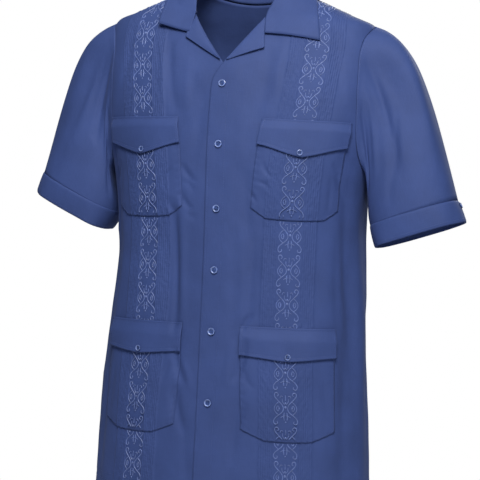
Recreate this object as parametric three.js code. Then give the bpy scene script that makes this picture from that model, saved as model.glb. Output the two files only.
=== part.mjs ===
// A men's short-sleeved guayabera shirt, as it hangs on a standing figure.
// Millimetres. +Z is up, the front faces -Y and the wearer's left side is +X.
// The origin is the middle of the neck, level with the neck end of the shoulder seams.
//
// The body is a stack of level rings. A place on it is given by its height and by its arc,
// the length along the ring from the middle of the front, positive towards the wearer's left.
// Every panel is a wall between two grids of points taken from that form, and whatever
// lies on a panel takes its points from the same form, moved out.

import * as THREE from 'three';

// ---------------------------------------------------------------- driving dimensions

const SHIRT_LENGTH = 820;
const ARMPIT_HEIGHT = -306;
const SHOULDER_TIP_HEIGHT = -54;
const SHOULDER_TIP_HALF = 219;
const NECK_HALF_WIDTH = 80;
const BACK_NECK_DROP = 14;

const CLOTH = 1.2;
const DOUBLE_CLOTH = 1.8;
const SEAM_GAP = 0.3;
const LAY_GAP = 0.6;
const FLAP_GAP = 0.9;

const OVERLAP = 17;
const LAP_LIFT = CLOTH + LAY_GAP;
const LAP_START = OVERLAP + 2;
const LAP_FADE = 26;
const LAP_TOP = { starts: -126, ends: -100 };

const STRIP_HALF_WIDTH = 18;
const TUCK_PITCH = 6;
const TUCKS_IN_A_BAND = 4;
const TUCK_HEIGHT = 0.9;

const CHEST_POCKET = {
  top: -236, bottom: -377, bow: 5, cornerRise: 13, cornerRun: 24, half: 70, shift: 6,
  flapTop: -219, flapSide: -260, flapPoint: -278,
};
const LOWER_POCKET = {
  top: -566, bottom: -719, bow: 5, cornerRise: 12, cornerRun: 38, half: 75, shift: 4,
  flapTop: -543, flapSide: -588, flapPoint: -595,
};

const BUTTON_ARC = 2;
const BUTTON_HEIGHTS = [-165, -261, -362, -458, -554, -665];
const FRONT_BUTTON = { radius: 6.2, thickness: 2.6 };
const SMALL_BUTTON = { radius: 5.0, thickness: 2.2 };
const FLAP_BUTTON = { rise: 7, shift: 3 };
const FLAP_ROUNDING = 0.45;
const FLAP_ROWS = [0, 0.35, 0.62, 0.85, 1];
const FLAP_SEAM = 2;
const POCKET_HEM = 1.5;

// Where lines run across a flap's plain middle, and between a pocket's side and its pleats.
const FLAT_BAND_PARTS = [-1, -0.7, -0.43, 0, 0.43, 0.7, 1];
const PLAIN_MIDDLE = 0.55;

const CUFF_DEPTH = 35;

// Level rings of the body. half is half the width, front and back are depths from the
// side seams, square is the roundness (2 is an ellipse), shift moves the ring sideways
// and tilt lowers its left side, because one shoulder is carried a little higher.
const BODY_RINGS = [
  { height: -820, half: 230, front: 140, back: 150, square: 2.25, shift: 0, tilt: 0 },
  { height: -700, half: 223, front: 136, back: 144, square: 2.25, shift: 0, tilt: 0 },
  { height: -600, half: 217, front: 132, back: 139, square: 2.3, shift: 0, tilt: 0 },
  { height: -500, half: 211, front: 129, back: 134, square: 2.3, shift: 0, tilt: 0 },
  { height: -420, half: 207, front: 128, back: 131, square: 2.3, shift: 0, tilt: 0 },
  { height: -350, half: 209, front: 128, back: 130, square: 2.3, shift: -1, tilt: 0 },
  { height: -290, half: 217, front: 127, back: 129, square: 2.35, shift: -2, tilt: 0.004 },
  { height: -250, half: 226, front: 124, back: 127, square: 2.35, shift: -3, tilt: 0.008 },
  { height: -200, half: 232, front: 118, back: 122, square: 2.35, shift: -4, tilt: 0.013 },
  { height: -150, half: 234, front: 109, back: 115, square: 2.35, shift: -5, tilt: 0.018 },
  { height: -110, half: 233, front: 98, back: 106, square: 2.3, shift: -6, tilt: 0.022 },
  { height: -80, half: 229, front: 86, back: 94, square: 2.3, shift: -7, tilt: 0.025 },
  { height: -54, half: SHOULDER_TIP_HALF, front: 73, back: 80, square: 2.25, shift: -7, tilt: 0.026 },
  { height: -40, half: 187, front: 66, back: 72, square: 2.2, shift: -7, tilt: 0.026 },
  { height: -26, half: 155, front: 60, back: 65, square: 2.2, shift: -7, tilt: 0.026 },
  { height: -12, half: 120, front: 54, back: 58, square: 2.2, shift: -7, tilt: 0.026 },
  { height: 0, half: NECK_HALF_WIDTH, front: 46, back: 50, square: 2.2, shift: -7, tilt: 0.026 },
];

// The middle edge of a front: the lapped edge, the curve at the top of it, the roll line
// of the lapel and the neckline. side is the distance from the middle of the front.
const FRONT_EDGE = [
  { height: -820, side: -OVERLAP },
  { height: -172, side: -OVERLAP },
  { height: -150, side: -12.5 },
  { height: -130, side: 1 },
  { height: -108, side: 18 },
  { height: -80, side: 39 },
  { height: -50, side: 60 },
  { height: -25, side: 72 },
  { height: 0, side: NECK_HALF_WIDTH },
];

// How far the armhole is cut in from the side of the body, along the ring.
const ARMHOLE = [
  { height: -306, front: 0, back: 0 },
  { height: -297, front: 26, back: 20 },
  { height: -282, front: 47, back: 38 },
  { height: -256, front: 63, back: 50 },
  { height: -222, front: 69, back: 56 },
  { height: -185, front: 71, back: 58 },
  { height: -150, front: 69, back: 56 },
  { height: -110, front: 61, back: 50 },
  { height: -82, front: 46, back: 38 },
  { height: -64, front: 24, back: 21 },
  { height: -54, front: 0, back: 0 },
];

// Rows of the body panels. A row lies at its level, lowered towards the shoulder tip by
// the given part of the shoulder's own fall, so the rows turn from level to sloping.
const PANEL_ROWS = [
  { level: -820, follow: 0 },
  { level: -760, follow: 0 },
  { level: -695, follow: 0 },
  { level: -630, follow: 0 },
  { level: -565, follow: 0 },
  { level: -500, follow: 0 },
  { level: -440, follow: 0 },
  { level: -385, follow: 0 },
  { level: -345, follow: 0 },
  { level: -306, follow: 0 },
  { level: -290, follow: 0.02 },
  { level: -266, follow: 0.05 },
  { level: -228, follow: 0.12 },
  { level: -178, follow: 0.24 },
  { level: -130, follow: 0.4 },
  { level: -100, follow: 0.55 },
  { level: -72, follow: 0.7 },
  { level: -48, follow: 0.82 },
  { level: -28, follow: 0.91 },
  { level: -13, follow: 0.96 },
  { level: -4, follow: 0.99 },
  { level: 0, follow: 1 },
];

// The middle of the embroidered strip, as its distance from the middle of the front.
const STRIP_CENTRE = [
  { height: -820, side: 128 },
  { height: -700, side: 124 },
  { height: -600, side: 119 },
  { height: -450, side: 117 },
  { height: -350, side: 119 },
  { height: -270, side: 126 },
  { height: -200, side: 136 },
  { height: -100, side: 146 },
  { height: -50, side: 142 },
  { height: 0, side: 138 },
];

// The largest folds of the body, each a soft ridge (+) or trough (-) between two places.
const BODY_FOLDS = [
  { arc: -80, from: -370, endArc: -76, to: -545, width: 13, rise: -4 },
  { arc: 228, from: -385, endArc: 236, to: -700, width: 20, rise: -7 },
  { arc: 262, from: -400, endArc: 268, to: -800, width: 18, rise: 5 },
  { arc: -232, from: -400, endArc: -240, to: -640, width: 22, rise: -6 },
  { arc: -268, from: -440, endArc: -262, to: -800, width: 20, rise: 5 },
  { arc: 430, from: -330, endArc: 452, to: -790, width: 26, rise: -8 },
  { arc: -425, from: -350, endArc: -446, to: -770, width: 26, rise: -8 },
  { arc: 500, from: -430, endArc: 512, to: -820, width: 24, rise: 6 },
  { arc: -496, from: -460, endArc: -516, to: -820, width: 24, rise: 6 },
];

// The collar, for half a turn from the middle of the back round to the notch.
// fold is the top of the roll. The free edge is given for each side as seen from above,
// because the wearer's right leaf is bent up a little.
const COLLAR_TURNS = [
  { turn: 0, foldX: 0, foldY: 55, foldZ: 18, leftX: 0, leftY: 83, rightX: 0, rightY: 83 },
  { turn: 0.14, foldX: 28, foldY: 51, foldZ: 18, leftX: 48, leftY: 80, rightX: 48, rightY: 80 },
  { turn: 0.28, foldX: 52, foldY: 37, foldZ: 18, leftX: 88, leftY: 66, rightX: 88, rightY: 66 },
  { turn: 0.42, foldX: 67, foldY: 15, foldZ: 16, leftX: 112, leftY: 38, rightX: 110, rightY: 39 },
  { turn: 0.55, foldX: 71, foldY: -10, foldZ: 9, leftX: 122, leftY: 8, rightX: 115, rightY: 10 },
  { turn: 0.68, foldX: 69, foldY: -36, foldZ: -6, leftX: 127, leftY: -20, rightX: 115, rightY: -16 },
  { turn: 0.8, foldX: 64, foldY: -58, foldZ: -28, leftX: 135, leftY: -43, rightX: 116, rightY: -38 },
  { turn: 0.89, foldX: 60, foldY: -75, foldZ: -50, leftX: 142, leftY: -59, rightX: 117, rightY: -55 },
  { turn: 1, foldX: 63, foldY: -90, foldZ: -80, leftX: 150, leftY: -74, rightX: 119, rightY: -73 },
];
const GORGE_TURN = 0.89;
const SHOULDER_TILT = 0.026;
const NECK_SEAM = { inward: 2.2, up: 1.6, frontHeight: -50, halfway: 0.5 };
const ROLL = { reach: 0.2, lift: 4, drop: 0.35, dropLift: 5, bulge: 1.2, flattensFrom: 0.6 };
const COLLAR_LIFT = 3.4;
const COLLAR_BEND = 6;
const COLLAR_SHIFT = -7;

// A lapel's outer corners on each side, as distance from the middle and height.
const LAPEL_ROWS = [0.16, 0.27, 0.4, 0.55, 0.7, 0.84, 0.96];
const LAPEL_COLUMNS = [0, 0.12, 0.35, 0.65, 1];
const LAPEL_CORNER_PART = 0.55;
const LAPEL_BOTTOM = { side: 2, height: -129 };
const LAPEL_LIFT = DOUBLE_CLOTH + SEAM_GAP + 0.5;
const LAPEL_BULGE = 1.6;
const LAPELS = {
  left: { cornerSide: 65, cornerHeight: -106, topSide: 58.5, topHeight: -52 },
  right: { cornerSide: 69, cornerHeight: -90, topSide: 58, topHeight: -53 },
};

// Each sleeve hangs from its armhole to its hem ring, whose outer and inner ends are given
// as sideways place and height. corner is where the shoulder line turns down the arm.
const SLEEVES = {
  left: {
    side: 1, outer: [369, -369], inner: [232, -414], middleY: -7, halfDepth: 58,
    corner: [284, -84], seamScale: 0.985, hemScale: 1.02,
  },
  right: {
    side: -1, outer: [-361, -339], inner: [-233, -401], middleY: -2, halfDepth: 57,
    corner: [-305, -85], seamScale: 1.05, hemScale: 1,
  },
};
const SLEEVE_SQUARENESS = 2.5;
const SLEEVE_GAP = 1.5 * SEAM_GAP;
const CUFF_ROWS = [0, 0.5, 1];
const CUFF_EASE = 0.01;
const CUFF_BUTTON_PART = 0.25;

// The way the sleeve sets out over the shoulder, up to a turn around the arm, and the way
// it hangs under the arm, between two such turns. clear keeps it off the body there.
const SHOULDER_RUN = { across: 0.91, down: 0.41, ends: 0.16 };
const UNDER_ARM = { across: 0.55, down: 0.84, from: 0.3, to: 0.46, clear: 0.8 };
const CORNER_PULL = 0.85;
const SLEEVE_STEPS = [0, 0.07, 0.17, 0.3, 0.46, 0.64, 0.82, 1];

// How far a sleeve runs on in the direction of the body, and how straight it falls, by
// the turn around the arm: 0 over the shoulder, 0.5 in the armpit, 1 the shoulder again.
const SLEEVE_REACH = [
  { turn: 0, reach: 68, fall: 0.8 },
  { turn: 0.25, reach: 42, fall: 0.55 },
  { turn: 0.5, reach: 16, fall: 0.4 },
  { turn: 0.75, reach: 42, fall: 0.55 },
  { turn: 1, reach: 68, fall: 0.8 },
];

// Below the first height a band's lines keep their distance along the ring, and above the
// second they keep it sideways.
const BAND_LEVELS = { below: -150, above: -60 };

const STRIP_TOP = STRIP_CENTRE[STRIP_CENTRE.length - 1].side;

// ---------------------------------------------------------------- small helpers

const mix = (a, b, t) => a + (b - a) * t;
const clamp = (value, low, high) => Math.min(high, Math.max(low, value));

function smooth(from, to, value) {
  const t = clamp((value - from) / (to - from), 0, 1);
  return t * t * (3 - 2 * t);
}

// Reads a column of a table at a place between its rows, along one smooth curve.
function read(table, key, at, column) {
  const last = table.length - 1;
  const place = clamp(at, table[0][key], table[last][key]);
  let i = 0;
  while (i < last - 1 && table[i + 1][key] <= place) {
    i += 1;
  }
  const slopeAt = (k) => {
    const before = table[Math.max(k - 1, 0)];
    const after = table[Math.min(k + 1, last)];
    return (after[column] - before[column]) / (after[key] - before[key]);
  };
  const span = table[i + 1][key] - table[i][key];
  const t = (place - table[i][key]) / span;
  const bend = t * t * (3 - 2 * t);
  const start = (t * t * t - 2 * t * t + t) * span * slopeAt(i);
  const end = (t * t * t - t * t) * span * slopeAt(i + 1);
  return mix(table[i][column], table[i + 1][column], bend) + start + end;
}

function bezier(p0, p1, p2, p3, t) {
  const u = 1 - t;
  return new THREE.Vector3()
    .addScaledVector(p0, u * u * u)
    .addScaledVector(p1, 3 * u * u * t)
    .addScaledVector(p2, 3 * u * t * t)
    .addScaledVector(p3, t * t * t);
}

// ---------------------------------------------------------------- the body form

const RING_STEPS = 90;
const ringCache = new Map();

// One ring as a list of arc, x and y from the middle of the front to the middle of the back.
function ringAt(height) {
  const name = height.toFixed(3);
  if (ringCache.has(name)) {
    return ringCache.get(name);
  }
  const column = (key) => read(BODY_RINGS, 'height', height, key);
  const power = 2 / column('square');
  const half = column('half');
  const depths = { front: column('front'), back: column('back') };
  const points = [];
  let arc = 0;
  for (let i = 0; i <= 2 * RING_STEPS; i += 1) {
    const angle = (Math.PI / 2) * (i / RING_STEPS);
    const depth = i <= RING_STEPS ? depths.front : depths.back;
    const x = half * Math.abs(Math.sin(angle)) ** power;
    const y = -depth * Math.sign(Math.cos(angle)) * Math.abs(Math.cos(angle)) ** power;
    if (i > 0) {
      arc += Math.hypot(x - points[i - 1].x, y - points[i - 1].y);
    }
    points.push({ arc, x, y });
  }
  const side = points[RING_STEPS].arc;
  const ring = { points, side, around: arc, shift: column('shift'), tilt: column('tilt') };
  ringCache.set(name, ring);
  return ring;
}

const sideArc = (height) => ringAt(height).side;

function along(points, key, at, column) {
  let i = 0;
  while (i < points.length - 2 && points[i + 1][key] < at) {
    i += 1;
  }
  const span = points[i + 1][key] - points[i][key];
  const t = span > 0 ? clamp((at - points[i][key]) / span, 0, 1) : 0;
  return mix(points[i][column], points[i + 1][column], t);
}

// The place on the bare ring, with no folds.
function ringPoint(arc, height) {
  const ring = ringAt(height);
  const x = Math.sign(arc) * along(ring.points, 'arc', Math.abs(arc), 'x');
  const y = along(ring.points, 'arc', Math.abs(arc), 'y');
  return new THREE.Vector3(x + ring.shift, y, height - ring.tilt * x);
}

function bodyNormal(arc, height) {
  const step = 1.5;
  const top = Math.min(height + step, 0);
  const across = ringPoint(arc + step, height).sub(ringPoint(arc - step, height));
  const up = ringPoint(arc, top).sub(ringPoint(arc, top - 2 * step));
  return across.cross(up).normalize();
}

function foldRise(arc, height) {
  let rise = 0;
  for (const fold of BODY_FOLDS) {
    const t = (height - fold.from) / (fold.to - fold.from);
    if (t > 0 && t < 1) {
      const offset = (arc - mix(fold.arc, fold.endArc, t)) / fold.width;
      rise += fold.rise * Math.sin(Math.PI * t) ** 0.7 * Math.exp(-offset * offset);
    }
  }
  return rise;
}

// A place on the body, moved out from it by a lift.
function bodyPoint(arc, height, lift = 0) {
  return ringPoint(arc, height).addScaledVector(bodyNormal(arc, height), lift + foldRise(arc, height));
}

// The arc at which the front half of a ring reaches a sideways distance.
function arcOfSide(side, height) {
  const ring = ringAt(height);
  const front = ring.points.slice(0, RING_STEPS + 1);
  return Math.sign(side) * along(front, 'x', Math.abs(side), 'arc');
}

// The same for the back half, as the arc from the middle of the back.
function backArcOfSide(side, height) {
  const ring = ringAt(height);
  const back = ring.points.slice(RING_STEPS).map((p) => ({ x: p.x, arc: ring.around - p.arc }));
  return along(back.reverse(), 'x', Math.abs(side), 'arc');
}

// The height at which the shoulder's ridge reaches a sideways distance.
function ridgeHeight(side) {
  let low = SHOULDER_TIP_HEIGHT;
  let high = 0;
  if (side <= NECK_HALF_WIDTH) {
    return 0;
  }
  for (let i = 0; i < 30; i += 1) {
    const middle = (low + high) / 2;
    if (read(BODY_RINGS, 'height', middle, 'half') > side) {
      low = middle;
    } else {
      high = middle;
    }
  }
  return high;
}

// Where a point stands off the body, as a distance, with the direction straight out.
function standOff(point) {
  const ratio = (p) => {
    const height = clamp(p.z, -SHIRT_LENGTH, 0);
    const column = (key) => read(BODY_RINGS, 'height', height, key);
    const depth = p.y < 0 ? column('front') : column('back');
    const x = Math.abs(p.x - column('shift')) / column('half');
    const y = Math.abs(p.y) / depth;
    return (x ** column('square') + y ** column('square')) ** (1 / column('square'));
  };
  const tilt = read(BODY_RINGS, 'height', clamp(point.z, -SHIRT_LENGTH, 0), 'tilt');
  const level = point.clone();
  level.z += tilt * point.x;
  const value = ratio(level) - 1;
  const slope = new THREE.Vector3();
  for (const axis of ['x', 'y', 'z']) {
    const nudged = level.clone();
    nudged[axis] -= 0.5;
    slope[axis] = (value + 1 - ratio(nudged)) / 0.5;
  }
  return { distance: value / slope.length(), out: slope.normalize() };
}

// Moves a point straight out until it stands at least a clearance off the body.
function keepOff(point, clearance) {
  for (let i = 0; i < 4; i += 1) {
    const { distance, out } = standOff(point);
    if (distance >= clearance || point.z > 0) {
      return point;
    }
    point.addScaledVector(out, clearance - distance);
  }
  return point;
}

// ---------------------------------------------------------------- walls from grids

// A wall between an outer grid and an inner one with the same rows. The inner grid has a
// point for each of the kept columns of the outer one. A closed wall runs all the way round.
function wall(outer, inner, kept, closed = false) {
  const rows = outer.length;
  const columns = outer[0].length;
  const innerColumns = kept.length;
  const vertices = [...outer.flat(), ...inner.flat()];
  const triangles = [];
  const out = (r, c) => r * columns + (c % columns);
  const inn = (r, c) => rows * columns + r * innerColumns + (c % innerColumns);
  const quad = (a, b, c, d) => triangles.push([a, b, c], [a, c, d]);

  const spans = closed ? columns : columns - 1;
  const innerSpans = closed ? innerColumns : innerColumns - 1;
  for (let r = 0; r < rows - 1; r += 1) {
    for (let c = 0; c < spans; c += 1) {
      quad(out(r, c), out(r, c + 1), out(r + 1, c + 1), out(r + 1, c));
    }
    for (let c = 0; c < innerSpans; c += 1) {
      quad(inn(r, c), inn(r + 1, c), inn(r + 1, c + 1), inn(r, c + 1));
    }
    if (!closed) {
      quad(out(r, 0), out(r + 1, 0), inn(r + 1, 0), inn(r, 0));
      const [lastOut, lastIn] = [columns - 1, innerColumns - 1];
      quad(out(r, lastOut), inn(r, lastIn), inn(r + 1, lastIn), out(r + 1, lastOut));
    }
  }
  const rim = (r, flip) => {
    for (let k = 0; k < innerSpans; k += 1) {
      const first = kept[k];
      const next = k + 1 < innerColumns ? kept[k + 1] : columns;
      const faces = [];
      for (let c = first; c < next; c += 1) {
        faces.push([out(r, c), inn(r, k), out(r, c + 1)]);
      }
      faces.push([out(r, next), inn(r, k), inn(r, k + 1)]);
      for (const [a, b, c] of faces) {
        triangles.push(flip ? [a, c, b] : [a, b, c]);
      }
    }
  };
  rim(0, false);
  rim(rows - 1, true);
  return solidFrom(vertices, triangles);
}

function solidFrom(vertices, triangles) {
  const positions = new Float32Array(triangles.length * 9);
  let volume = 0;
  for (const [a, b, c] of triangles) {
    volume += vertices[a].dot(new THREE.Vector3().crossVectors(vertices[b], vertices[c]));
  }
  triangles.forEach((triangle, i) => {
    const order = volume > 0 ? triangle : [triangle[0], triangle[2], triangle[1]];
    order.forEach((index, k) => vertices[index].toArray(positions, i * 9 + k * 3));
  });
  const geometry = new THREE.BufferGeometry();
  geometry.setAttribute('position', new THREE.BufferAttribute(positions, 3));
  return geometry;
}

// The direction out of a grid at each of its points.
function gridNormals(grid, closed = false) {
  const rows = grid.length;
  const columns = grid[0].length;
  return grid.map((row, r) => row.map((_, c) => {
    const left = closed ? row[(c - 1 + columns) % columns] : row[Math.max(c - 1, 0)];
    const right = closed ? row[(c + 1) % columns] : row[Math.min(c + 1, columns - 1)];
    const below = grid[Math.max(r - 1, 0)][c];
    const above = grid[Math.min(r + 1, rows - 1)][c];
    return right.clone().sub(left).cross(above.clone().sub(below)).normalize();
  }));
}

// A wall of even thickness behind a grid.
function sheetWall(grid, thickness, closed = false) {
  const normals = gridNormals(grid, closed);
  const sunk = (p, normal) => p.clone().addScaledVector(normal, -thickness);
  const inner = grid.map((row, r) => row.map((p, c) => sunk(p, normals[r][c])));
  return wall(grid, inner, grid[0].map((_, c) => c), closed);
}

// ---------------------------------------------------------------- pleats and strip

// Offsets across the decorated band, with the rise of the cloth at each: zigzag pleats on
// both sides of a plain strip.
function bandProfile() {
  const profile = [];
  for (let i = 0; i <= 2 * TUCKS_IN_A_BAND; i += 1) {
    const offset = STRIP_HALF_WIDTH + i * (TUCK_PITCH / 2);
    const plain = i === 0 || i === 2 * TUCKS_IN_A_BAND;
    profile.push({ offset, rise: i % 2 === 1 ? TUCK_HEIGHT : 0, plain });
  }
  const mirrored = profile.map((p) => ({ ...p, offset: -p.offset })).reverse();
  return [...mirrored, ...profile];
}

const BAND = bandProfile();
const BAND_HALF_WIDTH = BAND[BAND.length - 1].offset;

// The arc of a line that keeps its distance from the strip. On the slope of the shoulder
// the distance is measured sideways, so that the line runs up to the shoulder seam.
function bandArc(offset, height) {
  const centre = read(STRIP_CENTRE, 'height', height, 'side');
  const level = arcOfSide(centre, height) + offset;
  const half = read(BODY_RINGS, 'height', height, 'half');
  const sloping = arcOfSide(Math.min(centre + offset, half), height);
  return mix(level, sloping, smooth(BAND_LEVELS.below, BAND_LEVELS.above, height));
}

// ---------------------------------------------------------------- fronts and back

function rowHeight(row, side) {
  return row.level + row.follow * ridgeHeight(Math.min(Math.abs(side), SHOULDER_TIP_HALF));
}

// The height at which a row of the front meets a line that runs up the panel and reaches
// the shoulder or the armhole at about a known sideways distance.
function meet(row, topSide, sideOf) {
  let height = rowHeight(row, topSide);
  for (let i = 0; i < 14; i += 1) {
    height = rowHeight(row, sideOf(Math.max(height, -SHIRT_LENGTH)));
  }
  return height;
}

const sideOfArc = (arc, height) => along(ringAt(height).points, 'arc', arc, 'x');

function armholeArc(height, part) {
  const inset = height <= ARMPIT_HEIGHT ? 0 : read(ARMHOLE, 'height', height, part);
  return sideArc(height) - inset - SEAM_GAP / 2;
}

// The lines that run up a front from its hem: the lapped edge, two in the plain cloth
// beside it (just past the lap, and where its lift has faded), the decorated band, two
// more and the side.
const PLAIN_BEFORE = [
  { arc: LAP_START + 1, leastPart: 0.28 },
  { arc: LAP_START + 1 + LAP_FADE, leastPart: 0.58 },
];
const PLAIN_AFTER = [0.3, 0.66];

function frontColumns(row) {
  const inner = meet(row, 0, (height) => Math.max(read(FRONT_EDGE, 'height', height, 'side'), 0));
  const armholeSide = (height) => sideOfArc(armholeArc(height, 'front'), height);
  const outer = meet(row, SHOULDER_TIP_HALF, armholeSide);
  const edge = read(FRONT_EDGE, 'height', inner, 'side');
  const start = { arc: Math.sign(edge) * arcOfSide(Math.abs(edge), inner), height: inner };
  const end = { arc: armholeArc(outer, 'front'), height: outer };
  const band = BAND.map(({ offset, rise, plain }) => {
    const height = meet(row, STRIP_TOP + offset, (z) => sideOfArc(bandArc(offset, z), z));
    const arc = Math.min(bandArc(offset, height), sideArc(height) - SEAM_GAP / 2);
    return { arc, height, rise, plain };
  });
  const between = (a, b, t) => {
    const firstSide = sideOfArc(Math.abs(a.arc), a.height) * Math.sign(a.arc);
    const side = mix(firstSide, sideOfArc(b.arc, b.height), t);
    const height = rowHeight(row, side);
    const seamArc = arcOfSide(Math.max(side, 0), height) - SEAM_GAP / 2;
    return { arc: row.follow === 1 ? seamArc : mix(a.arc, b.arc, t), height, rise: 0, plain: true };
  };
  return [
    { ...start, rise: 0, plain: true },
    ...PLAIN_BEFORE.map(({ arc, leastPart }) => {
      const part = (arc - start.arc) / (band[0].arc - start.arc);
      return between(start, band[0], Math.max(part, leastPart));
    }),
    ...band,
    ...PLAIN_AFTER.map((t) => between(band[band.length - 1], end, t)),
    { ...end, rise: 0, plain: true },
  ];
}

// The left front laps over the right one, so it is lifted near the middle.
function lapLift(side, arc, height) {
  if (side < 0) {
    return 0;
  }
  const near = 1 - smooth(LAP_START, LAP_START + LAP_FADE, arc);
  return LAP_LIFT * near * (1 - smooth(LAP_TOP.starts, LAP_TOP.ends, height));
}

const frontGrid = PANEL_ROWS.map(frontColumns);

function frontPanel(side) {
  const place = ({ arc, height, rise }) => {
    const lift = rise + lapLift(side, arc, height);
    return bodyPoint(side * arc, height, lift);
  };
  const outer = frontGrid.map((row) => row.map(place));
  const kept = frontGrid[0].flatMap((column, c) => (column.plain ? [c] : []));
  const inner = frontGrid.map((row) => kept.map((c) => {
    const { arc, height } = row[c];
    return bodyPoint(side * arc, height, lapLift(side, arc, height) - CLOTH);
  }));
  return wall(outer, inner, kept);
}

// The lines that run up the back, as parts of the way from its middle to its side.
const BACK_HALF_COLUMNS = [0.2, 0.34, 0.47, 0.6, 0.74, 0.88, 1];
const BACK_COLUMNS = [...BACK_HALF_COLUMNS.map((part) => -part).reverse(), 0, ...BACK_HALF_COLUMNS];

// Between these shares of following the shoulder, the back's lines change from level ones.
const BACK_FOLLOWS = { from: 0.3, to: 0.8 };

function backNeckDip(side) {
  const part = clamp(side / NECK_HALF_WIDTH, 0, 1);
  return BACK_NECK_DROP * (1 - part * part);
}

function backSideArc(height) {
  const inset = height <= ARMPIT_HEIGHT ? 0 : read(ARMHOLE, 'height', height, 'back');
  return sideArc(height) + inset + SEAM_GAP / 2;
}

function backPlace(row, part) {
  const outer = meet(row, SHOULDER_TIP_HALF, (height) => sideOfArc(backSideArc(height), height));
  if (part === 1) {
    return { arc: backSideArc(outer), height: outer };
  }
  const side = part * sideOfArc(backSideArc(outer), outer);
  const height = rowHeight(row, side) - row.follow * backNeckDip(side);
  const { around } = ringAt(height);
  const level = around - part * (around - backSideArc(height));
  const sloping = around - backArcOfSide(side, height);
  const arc = mix(level, sloping, smooth(BACK_FOLLOWS.from, BACK_FOLLOWS.to, row.follow));
  return { arc: Math.max(arc, backSideArc(height)), height };
}

const backGrid = PANEL_ROWS.map((row) => BACK_COLUMNS.map((part) => ({
  ...backPlace(row, Math.abs(part)),
  side: part > 0 ? 1 : -1,
})));

function backPanel() {
  const place = (p, lift) => bodyPoint(p.side * p.arc, p.height, lift);
  const grid = (lift) => backGrid.map((row) => row.map((p) => place(p, lift)));
  return wall(grid(0), grid(-CLOTH), BACK_COLUMNS.map((_, c) => c));
}

// ---------------------------------------------------------------- sleeves and cuffs

// The armhole's edge, from the shoulder down the front, through the armpit and up the back.
function armholeLoop(side) {
  const holeRows = PANEL_ROWS.map((row, r) => r).filter((r) => PANEL_ROWS[r].level >= ARMPIT_HEIGHT);
  const down = holeRows.slice().reverse().map((r) => frontGrid[r][frontGrid[r].length - 1]);
  const up = holeRows.map((r) => backGrid[r][BACK_COLUMNS.length - 1]);
  const places = [...down, ...up.slice(1, -1)];
  return places.map(({ arc, height }) => ({
    point: bodyPoint(side * arc, height),
    normal: bodyNormal(side * arc, height),
  }));
}

function sleeveGrid(sleeve) {
  const { side } = sleeve;
  const loop = armholeLoop(side);
  const count = loop.length;
  const outerEnd = new THREE.Vector3(sleeve.outer[0], sleeve.middleY, sleeve.outer[1]);
  const innerEnd = new THREE.Vector3(sleeve.inner[0], sleeve.middleY, sleeve.inner[1]);
  const centre = outerEnd.clone().add(innerEnd).multiplyScalar(0.5);
  const wide = outerEnd.clone().sub(centre);
  const down = new THREE.Vector3(side * wide.z, 0, -side * wide.x).normalize();
  const seamCentre = centre.clone().addScaledVector(down, -CUFF_DEPTH);

  const lengths = [0];
  loop.forEach((p, i) => lengths.push(lengths[i] + p.point.distanceTo(loop[(i + 1) % count].point)));
  const lowest = Math.min(...loop.map((p) => p.point.z));
  const toArmpit = lengths[loop.findIndex((p) => p.point.z === lowest)];
  const turnOf = (i) => {
    if (lengths[i] <= toArmpit) {
      return lengths[i] / toArmpit / 2;
    }
    return 1 - (lengths[count] - lengths[i]) / (lengths[count] - toArmpit) / 2;
  };

  const ringEnd = (turn, middle, scale) => {
    const angle = 2 * Math.PI * turn;
    const bulge = 2 / SLEEVE_SQUARENESS;
    const across = Math.sign(Math.cos(angle)) * Math.abs(Math.cos(angle)) ** bulge;
    const depth = Math.sign(Math.sin(angle)) * Math.abs(Math.sin(angle)) ** bulge;
    const end = middle.clone().addScaledVector(wide, scale * across);
    end.y -= scale * sleeve.halfDepth * depth;
    return end;
  };

  const curves = loop.map(({ point, normal }, i) => {
    const turn = turnOf(i);
    const before = loop[(i - 1 + count) % count].point;
    const after = loop[(i + 1) % count].point;
    const tangent = after.clone().sub(before).normalize();
    const onward = normal.clone().cross(tangent).multiplyScalar(side).normalize();
    const fromShoulder = Math.min(turn, 1 - turn);
    const underArm = smooth(UNDER_ARM.from, UNDER_ARM.to, fromShoulder);
    const droop = new THREE.Vector3(UNDER_ARM.across * side, 0, -UNDER_ARM.down);
    const run = new THREE.Vector3(SHOULDER_RUN.across * side, 0, -SHOULDER_RUN.down);
    const overShoulder = 1 - smooth(0, SHOULDER_RUN.ends, fromShoulder);
    const start = onward.lerp(run, overShoulder).lerp(droop, underArm).normalize();
    const from = point.clone().addScaledVector(start, SLEEVE_GAP);
    from.x += side * underArm * UNDER_ARM.clear;
    const to = ringEnd(turn, seamCentre, sleeve.seamScale);
    const reach = read(SLEEVE_REACH, 'turn', turn, 'reach');
    const fall = read(SLEEVE_REACH, 'turn', turn, 'fall');
    const span = from.distanceTo(to);
    const corner = new THREE.Vector3(sleeve.corner[0], (from.y + to.y) / 2, sleeve.corner[1]);
    const pulled = (end) => end.clone().lerp(corner, CORNER_PULL);
    const a = from.clone().addScaledVector(start, reach).lerp(pulled(from), overShoulder);
    const b = to.clone().addScaledVector(down, -fall * span).lerp(pulled(to), overShoulder);
    return { from, a, b, to };
  });
  const grid = SLEEVE_STEPS.map((t) => curves.map(({ from, a, b, to }) => bezier(from, a, b, to, t)));
  const turns = loop.map((_, i) => turnOf(i));
  const cuff = CUFF_ROWS.map((t) => turns.map((turn) => {
    const middle = seamCentre.clone().addScaledVector(down, SEAM_GAP + t * (CUFF_DEPTH - SEAM_GAP));
    return ringEnd(turn, middle, mix(sleeve.seamScale + CUFF_EASE, sleeve.hemScale, t));
  }));
  return { grid, cuff, side };
}

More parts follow.
